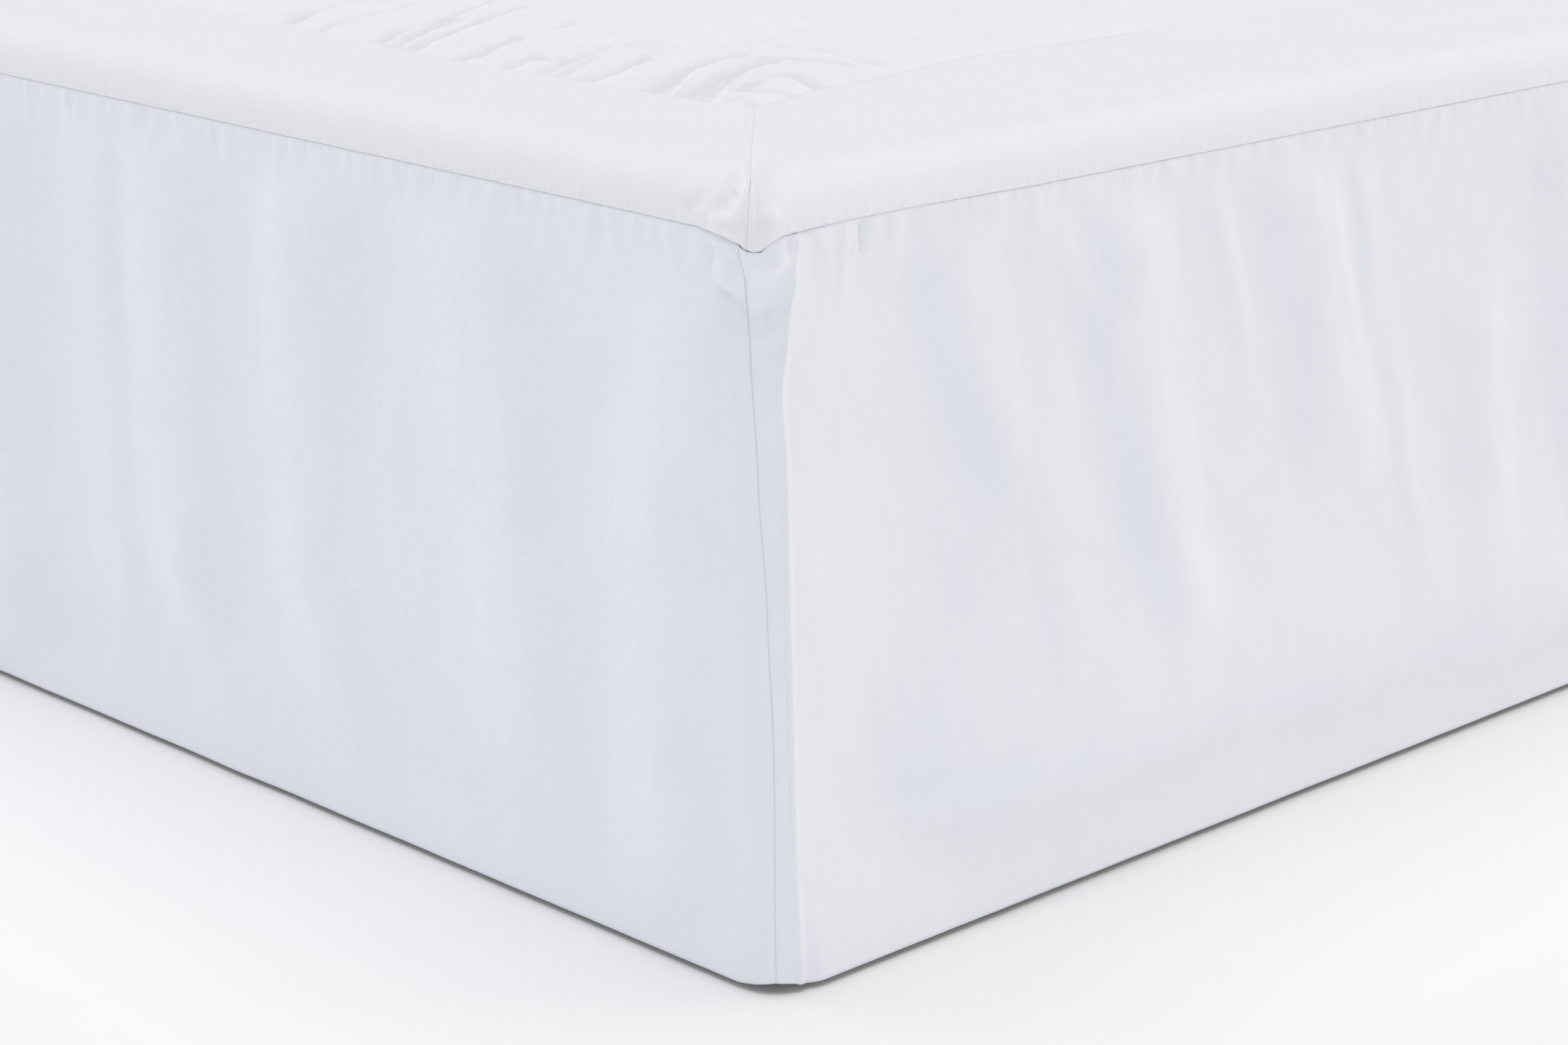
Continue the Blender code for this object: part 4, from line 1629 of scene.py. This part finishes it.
    def even_surface(self, even_run: Array, rows: Array) -> tuple[Array, ...]:
        """Lay the band over the box spring and its edge, without its seams' relief.

        Args:
            even_run: The run of each column, before the first mitre leans.
            rows: The place of each row: 0 at the inner edge, 1 where the roll starts, 2 where it ends and 3
                at the seam.

        Returns:
            The points, their places along the face, their distances out of it, their distances across the
            corner, and their distances from the drop's seam.
        """
        radius = self.bed.roll_radius
        flat, roll = np.minimum(rows, 1.0), 0.5 * math.pi * np.clip(rows - 1.0, 0.0, 1.0)
        reach = radius * (np.sin(roll) - 1.0)
        place, out, along_normal, out_normal = self.edge(self.leaned(even_run, rows, reach))
        place, out, lateral = self.tightened(place + reach * along_normal, out + reach * out_normal, reach)
        first, last = self.inner_ends()
        inner = mixed(first, last, (even_run - even_run[0, 0]) / np.ptp(even_run))
        place, out = mixed(inner, place, flat), mixed(-along(self.widths, inner), out, flat)
        bottom = self.middle - radius * (1.0 - np.cos(roll))
        z = bottom + np.maximum(rows - 2.0, 0.0) * (self.bed.seam_height(lateral) - bottom)
        x, y = self.bed.world(self.face, place, out)
        to_seam = np.maximum(3.0 - rows, 0.0) * self.fall
        to_seam = np.where(rows < 2.0, self.fall + radius * (math.pi / 2 - roll), to_seam)
        to_seam = np.where(rows < 1.0, 1.0, to_seam)
        return np.stack(np.broadcast_arrays(x, y, z), axis=-1), place, out, lateral, to_seam

    def seam_relief(self, place: Array, lateral: Array, to_seam: Array, from_mitre: Array) -> Array:
        """Find what the seams do to the cloth.

        Args:
            place: Each point's place along the face.
            lateral: Its distance across the corner.
            to_seam: Its distance from the drop's seam.
            from_mitre: Its distance from the nearest mitre.

        Returns:
            How far each point stands out.
        """
        relief = -self.groove * self.bed.seam_pull(lateral) * hump(to_seam, self.groove_reach)
        gathered = puckers(place, to_seam, self.pucker_spacing, self.pucker_length, self.seed)
        relief = relief + self.pucker_depth * gathered * ease(to_seam / self.pucker_start)
        relief = relief - self.mitre_groove * hump(self.mitre_slant * from_mitre, self.mitre_groove_reach)
        return relief + creased(from_mitre, to_seam, self.pinches)

    def build(self) -> bpy.types.Object:
        """Returns:
            The finished object.
        """
        even_run, rows = self.runs()[None, :], graded(*self.rows)[::-1, None]
        even, place, out, lateral, to_seam = self.even_surface(even_run, rows)
        relief = self.seam_relief(place, lateral, to_seam, self.from_mitre(even))
        soft = self.soft.at(place, out, self.seed) * ease(rows * self.soft_rise)
        relief = relief + soft * ease(to_seam / self.soft_start)
        if self.face is not Face.RIGHT:
            even, relief, place = even[:, ::-1], relief[:, ::-1], place[:, ::-1]
        points = even + relief[..., None] * outward_normals(even)
        across = walked(np.swapaxes(points, 0, 1)).T
        cloth_map = np.stack((place, across), axis=-1)
        name = f"border_band_{self.face.value}"
        obj = sheet_object(name, points, cloth_map, self.thickness, self.material)
        dressed(obj, f"border_{self.face.value}")
        return obj


@dataclass(frozen=True)
class DeckPanel:
    """The thin crinkled panel between the bands, which laps under them, with a painted shade along its tucks.
    """

    bed: Bed
    material: bpy.types.Material
    foot_widths: Table
    side_widths: Table
    left_widths: Table
    creases: Sequence[Crease]
    lap: float = 0.008
    thickness: float = 0.0007
    lift: float = 0.0005
    seed: int = 31
    fine_depth: float = 0.0011
    # The size of each kind of facet, and its share of the fine depth
    crumples: Table = ((0.058, 1.0), (0.030, 0.55), (0.016, 0.25))
    warp: float = 0.012
    warp_length: float = 0.050
    puff: float = 0.0038
    puffed: Place = (0.30, 0.15)
    puff_flat: float = 0.20
    puff_fall: float = 0.30
    puff_edge: float = 0.35
    puff_rise: float = 0.045
    puff_start: float = 0.010
    tuck_spread: float = 1.5
    tuck_start: float = 0.006
    fine_start: float = 0.002
    fine_rise: float = 0.020
    # Painted shade in the tucks: the dent depth where it is fullest, and how many times further it reaches on
    # a dent's right
    full_painted_shade: float = 0.0042
    painted_shade_spread: float = 2.3
    side_steps: Steps = ((0.0, 0.440, 0.0025), (0.440, 1.266, 0.016))
    foot_steps: Steps = ((0.0, 0.160, 0.0019), (0.160, 0.420, 0.0058), (0.420, 1.900, 0.022))

    @property
    def middle(self) -> float:
        """Height of the panel's middle surface where it lies flat on the box spring."""
        return self.bed.box_high.z + GAP + self.lift

    def laid_out(self) -> tuple[Array, ...]:
        """Lay the panel's points out between the bands, which have uneven widths.

        Returns:
            Each point's distances from the side face, from the foot face and from the panel's own edge.
        """
        columns, rows = (graded(*steps) for steps in (self.side_steps, self.foot_steps))
        column, row = (columns / columns[-1])[None, :], (rows / rows[-1])[:, None]
        side, foot = column + 0.0 * row, row + 0.0 * column
        width, length = 2 * self.bed.half_x, self.bed.face_length
        # Each band's width depends on the place along the other one, so the places settle in a few rounds
        for _ in range(4):
            right = along(self.side_widths, foot) - self.lap
            left = width - along(self.left_widths, foot) + self.lap
            side = mixed(right, left, column)
            near = along(self.foot_widths, side) - self.lap
            foot = mixed(near, length, row)
        edge = np.minimum(np.minimum(side - right, left - side), np.minimum(foot - near, length - foot))
        return side, foot, edge

    def crumple(self, side: Array, foot: Array) -> Array:
        """Crumple the cloth into fine irregular facets between creases.

        Args:
            side: Distances from the side face.
            foot: Distances from the foot face.

        Returns:
            The height of each point, from 0 up.
        """
        lengths = (self.warp_length, self.warp_length)
        warp_x, warp_y = (Waviness(self.warp, lengths, i).at(side, foot, self.seed) for i in (0, 1))
        depth = np.zeros(side.shape)
        for i, (cell, share) in enumerate(self.crumples):
            noise = SoftNoise(self.seed + 5 + i)
            value = noise.at((side + warp_x) / cell, (foot + warp_y) / cell)
            depth = depth + share * (1.0 - np.abs(value)) ** 2
        return depth

    def build(self) -> bpy.types.Object:
        """Returns:
            The finished object.
        """
        side, foot, edge = self.laid_out()
        away = np.hypot(side - self.puffed[0], foot - self.puffed[1])
        puff = self.puff * hump(np.maximum(away - self.puff_flat, 0.0), self.puff_fall)
        edge = edge - self.lap
        puff = puff * mixed(self.puff_edge, 1.0, ease(edge / self.puff_rise)) * ease(edge / self.puff_start)
        tucks_and_painted_shade = creased(side, foot, self.creases, self.tuck_spread)
        depth = np.maximum(puff + tucks_and_painted_shade, 0.0) * ease(edge / self.tuck_start)
        fine = self.fine_depth * self.crumple(side, foot)
        depth = depth + fine * ease((edge - self.fine_start) / self.fine_rise)
        x, y = self.bed.half_x - side, foot - self.bed.half_y
        points = np.stack((x, y, self.middle + depth), axis=-1)[:, ::-1]
        cloth_map = np.stack((side, foot), axis=-1)[:, ::-1]
        obj = sheet_object("deck_cloth", points, cloth_map, self.thickness, self.material)
        # Painted shade: a point attribute, from the dents' depth, that darkens the colour along the tucks
        shade = obj.data.attributes.new(PAINTED_CREASE_SHADE, "FLOAT", "POINT")
        painted_shade_depth = -creased(side, foot, self.creases, self.painted_shade_spread)[:, ::-1]
        shade.data.foreach_set("value", np.clip(painted_shade_depth / self.full_painted_shade, 0.0, 1.0).ravel())
        dressed(obj, "deck_panel")
        return obj


# What the skirt fits over


@dataclass(frozen=True)
class BoxSpring:
    """The upholstered box spring: a rounded block with a taped edge at its border's top and bottom."""

    bed: Bed
    material: bpy.types.Material
    corner_radius: float = 0.026
    edge_radius: float = 0.024
    tape_radius: float = 0.0022
    hollow: float = 0.0015
    hollow_change: float = 0.3
    hollow_ends: Span = (0.06, 0.94)
    tape_inset: float = 0.004
    tape_flat: float = 0.8
    least_radius: float = 0.004
    flat_insets: tuple[float, ...] = (0.05, 0.12, 0.30)
    sway: Waviness = Waviness(0.0007, (1.0, 0.09), 3)
    sway_lengths: Place = (0.16, 0.21)
    sway_inset: float = 0.02
    arc_points: int = 9
    tape_points: int = 7
    straight_points: int = 26

    def profile(self) -> list[Place]:
        """Lay out the side's section.

        Returns:
            Its (inset, height) points, from the middle of the bottom to that of the top.
        """
        low, high = self.bed.box_low.z, self.bed.box_high.z
        turn = np.linspace(0.0, math.pi / 2, self.arc_points)
        radius, tape = self.edge_radius, self.tape_radius
        tapes = (low + radius + self.tape_inset, high - radius - self.tape_inset)
        points = [(inset, low) for inset in self.flat_insets[::-1]]
        points += [(radius * (1 - math.sin(t)), low + radius * (1 - math.cos(t))) for t in turn[:-1]]
        for centre in tapes:
            for t in np.linspace(-math.pi / 2, math.pi / 2, self.tape_points):
                points.append((tape - tape * math.cos(t) * self.tape_flat, centre + tape * math.sin(t)))
            if centre == tapes[0]:
                for share in np.linspace(*self.hollow_ends, self.arc_points):
                    inset = self.hollow * (1.0 + self.hollow_change * math.cos(2 * math.pi * share))
                    points.append((inset, mixed(*tapes, share)))
        points += [(radius * (1 - math.cos(t)), high - radius * (1 - math.sin(t))) for t in turn[1:]]
        return points + [(inset, high) for inset in self.flat_insets]

    def outline(self, inset: float) -> Array:
        """Lay out the plan at an inset from the box spring's sides.

        Args:
            inset: How far inside of the sides the outline runs.

        Returns:
            The outline's points, round four arcs with straights between them.
        """
        radius = max(self.corner_radius - inset, self.least_radius)
        half_x, half_y = self.bed.box_high.x - inset - radius, self.bed.box_high.y - inset - radius
        centres = np.array(((half_x, half_y), (-half_x, half_y), (-half_x, -half_y), (half_x, -half_y)))
        points = []
        for quarter, centre in enumerate(centres):
            turns = np.linspace(0.0, math.pi / 2, self.arc_points) + quarter * math.pi / 2
            arc = centre + radius * np.stack((np.cos(turns), np.sin(turns)), axis=-1)
            next_start = arc[-1] - centre + centres[(quarter + 1) % 4]
            shares = np.linspace(0.0, 1.0, self.straight_points)[1:-1, None]
            points += [arc, mixed(arc[-1], next_start, shares)]
        return np.concatenate(points)

    def unwrapped(self, bm: bmesh.types.BMesh) -> None:
        """Lay the sides' cloth out round the bed, and that of the top and the bottom flat.

        Args:
            bm: The box spring's mesh.
        """
        layer = bm.loops.layers.uv.new(CLOTH_MAP)
        for face in bm.faces:
            upright = abs(face.normal.z) < 0.7
            for loop in face.loops:
                x, y, z = loop.vert.co
                loop[layer].uv = (x + y, z) if upright else (x, y)

    def build(self) -> bpy.types.Object:
        """Returns:
            The finished object.
        """
        bm = bmesh.new()
        rings = []
        for inset, height in self.profile():
            outline = self.outline(inset)
            around = outline[:, 0] / self.sway_lengths[0] + outline[:, 1] / self.sway_lengths[1]
            sway = self.sway.at(around, np.full(len(outline), height), 0)
            nudge = 1.0 - np.abs(sway) * (0.0 < inset < self.sway_inset)
            rings.append([bm.verts.new((x * s, y * s, height)) for (x, y), s in zip(outline, nudge)])
        for lower, upper in zip(rings, rings[1:]):
            for i, vertex in enumerate(lower):
                j = (i + 1) % len(lower)
                bm.faces.new((vertex, lower[j], upper[j], upper[i]))
        bm.faces.new(rings[0][::-1])
        bm.faces.new(rings[-1])
        self.unwrapped(bm)
        mesh = bpy.data.meshes.new("box_spring_cover")
        bmesh.ops.recalc_face_normals(bm, faces=bm.faces)
        bm.to_mesh(mesh)
        bm.free()
        mesh.materials.append(self.material)
        mesh.shade_smooth()
        mesh.set_sharp_from_angle(angle=math.radians(50))
        obj = placed("box_spring_cover", mesh)
        dressed(obj, "box_spring")
        return obj


@dataclass(frozen=True)
class SteelFrame:
    """The steel frame under the box spring, whose rails, legs and pads keep the shapes of their solids."""

    coat: bpy.types.Material
    rubber: bpy.types.Material

    def dress(self, nodes: dict[str, bpy.types.Object]) -> int:
        """Give each rail and leg the powder coat and each pad the rubber.

        Args:
            nodes: The part's solids, by name.

        Returns:
            How many were dressed.
        """
        count = 0
        for name, obj in nodes.items():
            kind = name.split("_")[0]
            if kind not in ("rail", "leg", "pad"):
                continue
            material = self.rubber if kind == "pad" else self.coat
            obj.data.materials.clear()
            obj.data.materials.append(material)
            count += 1
        return count


# The studio


@dataclass(frozen=True)
class Softbox:
    """A soft light of a width and a height that looks at the bed."""

    name: str
    azimuth: float
    elevation: float
    distance: float
    width: float
    height: float
    power: float
    colour: Colour = (1.0, 1.0, 1.0)

    def build(self, target: Vector) -> None:
        """Make the light. Its azimuth turns from +X towards +Y, in degrees.

        Args:
            target: What it looks at.
        """
        turn, rise = math.radians(self.azimuth), math.radians(self.elevation)
        way = Vector((math.cos(turn) * math.cos(rise), math.sin(turn) * math.cos(rise), math.sin(rise)))
        light = bpy.data.lights.new(self.name, "AREA")
        light.shape, light.size, light.size_y = "RECTANGLE", self.width, self.height
        light.energy, light.color = self.power, self.colour
        obj = placed(self.name, light)
        obj.location = target + way * self.distance
        obj.rotation_euler = (-way).to_track_quat("-Z", "Y").to_euler()


@dataclass(frozen=True)
class Studio:
    """A pale floor, soft light all round and the camera."""

    bed: Bed
    floor_size: float = 16.0
    sky_colour: Colour = (0.967, 0.971, 1.0)
    sky_strength: float = 0.371
    lights: tuple[Softbox, ...] = (
        Softbox("side_window", 65.0, 7.0, 7.0, 6.0, 1.6, 200.0, (1.0, 0.941, 0.833)),
        Softbox("foot_window", -162.0, 8.0, 7.0, 5.0, 1.8, 205.0, (1.0, 0.983, 0.976)),
        Softbox("front_softbox", -45.0, 14.0, 7.0, 4.2, 2.0, 92.0, (0.928, 0.962, 1.0)),
        Softbox("top_softbox", 0.0, 90.0, 6.0, 6.0, 6.0, 227.0, (0.998, 1.0, 0.978)),
    )
    focal_pixels: float = 5383.25
    image_width: int = 2352
    sensor: float = 36.0
    yaw: float = 45.1255
    pitch: float = 16.4422
    roll: float = 0.498
    camera_place: tuple[float, float, float] = (1.10806, -1.08622, 0.68401)
    cloth_outside: float = 0.00075
    lit: tuple[float, float, float] = (0.3, -0.4, 0.2)

    def floor(self) -> None:
        """Make the floor."""
        bm = bmesh.new()
        bmesh.ops.create_grid(bm, x_segments=8, y_segments=8, size=self.floor_size / 2)
        mesh = bpy.data.meshes.new("floor")
        bm.to_mesh(mesh)
        bm.free()
        mesh.materials.append(PALE_FLOOR.material())
        obj = placed("floor", mesh)

    def sky(self) -> None:
        """Surround the bed with even pale light."""
        world = bpy.data.worlds.new("studio")
        world.use_nodes = True
        background = world.node_tree.nodes["Background"]
        background.inputs["Color"].default_value = opaque(self.sky_colour)
        background.inputs["Strength"].default_value = self.sky_strength
        bpy.context.scene.world = world

    def camera(self) -> None:
        """Place the camera, measured from the foot corner's meeting line at the hem."""
        yaw, pitch, roll = (math.radians(a) for a in (self.yaw, self.pitch, self.roll))
        level = Vector((math.cos(yaw), math.sin(yaw), 0.0))
        ahead = Vector((-math.sin(yaw), math.cos(yaw), 0.0))
        forward = ahead * math.cos(pitch) - Vector((0.0, 0.0, math.sin(pitch)))
        up = level.cross(forward)
        right = level * math.cos(roll) + up * math.sin(roll)
        up = up * math.cos(roll) - level * math.sin(roll)
        camera = bpy.data.cameras.new("camera")
        camera.sensor_width = self.sensor
        camera.lens = self.focal_pixels / self.image_width * self.sensor
        camera.clip_end = 60.0
        obj = placed("camera", camera)
        half_x, half_y = self.bed.half_x + self.cloth_outside, self.bed.half_y + self.cloth_outside
        corner = Vector((half_x, -half_y, self.bed.hem_height))
        turn = Matrix((right, up, -forward)).transposed().to_4x4()
        obj.matrix_world = Matrix.Translation(corner + Vector(self.camera_place)) @ turn
        bpy.context.scene.camera = obj

    def build(self) -> None:
        """Make the floor, the sky, the lights and the camera."""
        bpy.context.scene.view_settings.view_transform = "Standard"
        self.camera()
        self.floor()
        self.sky()
        for light in self.lights:
            light.build(Vector(self.lit))


# How wide the bands are along each face, from the foot corner on
FOOT_BAND = ((0.132, 0.125), (0.163, 0.118), (0.221, 0.115), (0.342, 0.108), (0.506, 0.121), (0.70, 0.118))
SIDE_BAND = ((0.125, 0.132), (0.202, 0.149), (0.333, 0.166), (0.394, 0.163), (0.60, 0.160))
LEFT_BAND = ((0.118, 0.142), (0.80, 0.150), (1.60, 0.145))


def deck(bed: Bed) -> Sequence[DeckPanel | BorderBand]:
    """Lay out the deck's panel and its three bands.

    Args:
        bed: The sizes that every piece shares.

    Returns:
        The pieces, in the order in which they are made.
    """
    cotton = BORDER_COTTON.material()
    far_steps = ((0.0, 0.060, 0.003), (0.060, 2.0, 0.009))
    creases = (*DECK_CREASES, *UnevenCreases().over_deck(seed=5))
    foot, right = FOOT_BORDER_PINCHES, SIDE_BORDER_PINCHES
    return (
        DeckPanel(bed, DECK_COTTON.material(), FOOT_BAND, SIDE_BAND, LEFT_BAND, creases),
        BorderBand(bed, Face.FOOT, cotton, FOOT_BAND, 51, LEFT_BAND, pinches=foot, lean=1.0),
        BorderBand(bed, Face.RIGHT, cotton, SIDE_BAND, 53, pinches=right, lean=-1.0),
        BorderBand(bed, Face.LEFT, cotton, LEFT_BAND, 55, steps=far_steps),
    )


def drops(bed: Bed, margin: float = 0.060) -> Sequence[Drop]:
    """Lay out the three drops, whose unseen stretches have uneven folds.

    Args:
        bed: The sizes that every piece shares.
        margin: How far the uneven folds stay from a drop's ends.

    Returns:
        The drops, in the order in which they are made.
    """
    cotton = DROP_COTTON.material()
    corner = FootCorner(bed.tight_radius, bed.drop)
    width_end, length_end = 2 * bed.half_x - margin, bed.face_length - margin
    uneven = UnevenFolds()
    foot = Relief((*FOOT_FOLDS, *uneven.between(0.66, width_end, 11)), 61)
    right = Relief((*SIDE_FOLDS, *uneven.between(0.74, length_end, 3)), 63, True)
    left = Relief(uneven.between(bed.corner_radius + margin, length_end, 7), 65, True)
    return (
        FootDrop(bed, corner, cotton, foot, pinches=FOOT_PINCHES),
        SideDrop(bed, corner, cotton, right, face=Face.RIGHT, pinches=SIDE_PINCHES),
        SideDrop(bed, corner, cotton, left, face=Face.LEFT, steps=((0.0, 2.0, 0.0075),)),
    )


def main() -> None:
    """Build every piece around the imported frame, in order."""
    logging.basicConfig(level=logging.INFO, format="%(name)s: %(message)s")
    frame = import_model()
    bed = Bed.from_frame()
    Studio(bed).build()
    log.info("studio and camera placed")
    count = SteelFrame(POWDER_COAT.material(), RUBBER.material()).dress(frame["nodes"])
    log.info("steel frame dressed: %d pieces", count)
    for piece in (BoxSpring(bed, TICKING.material()), *deck(bed), *drops(bed)):
        obj = piece.build()
        log.info("%s built: %d points", obj.name, len(obj.data.vertices))


if __name__ == "__main__":
    main()
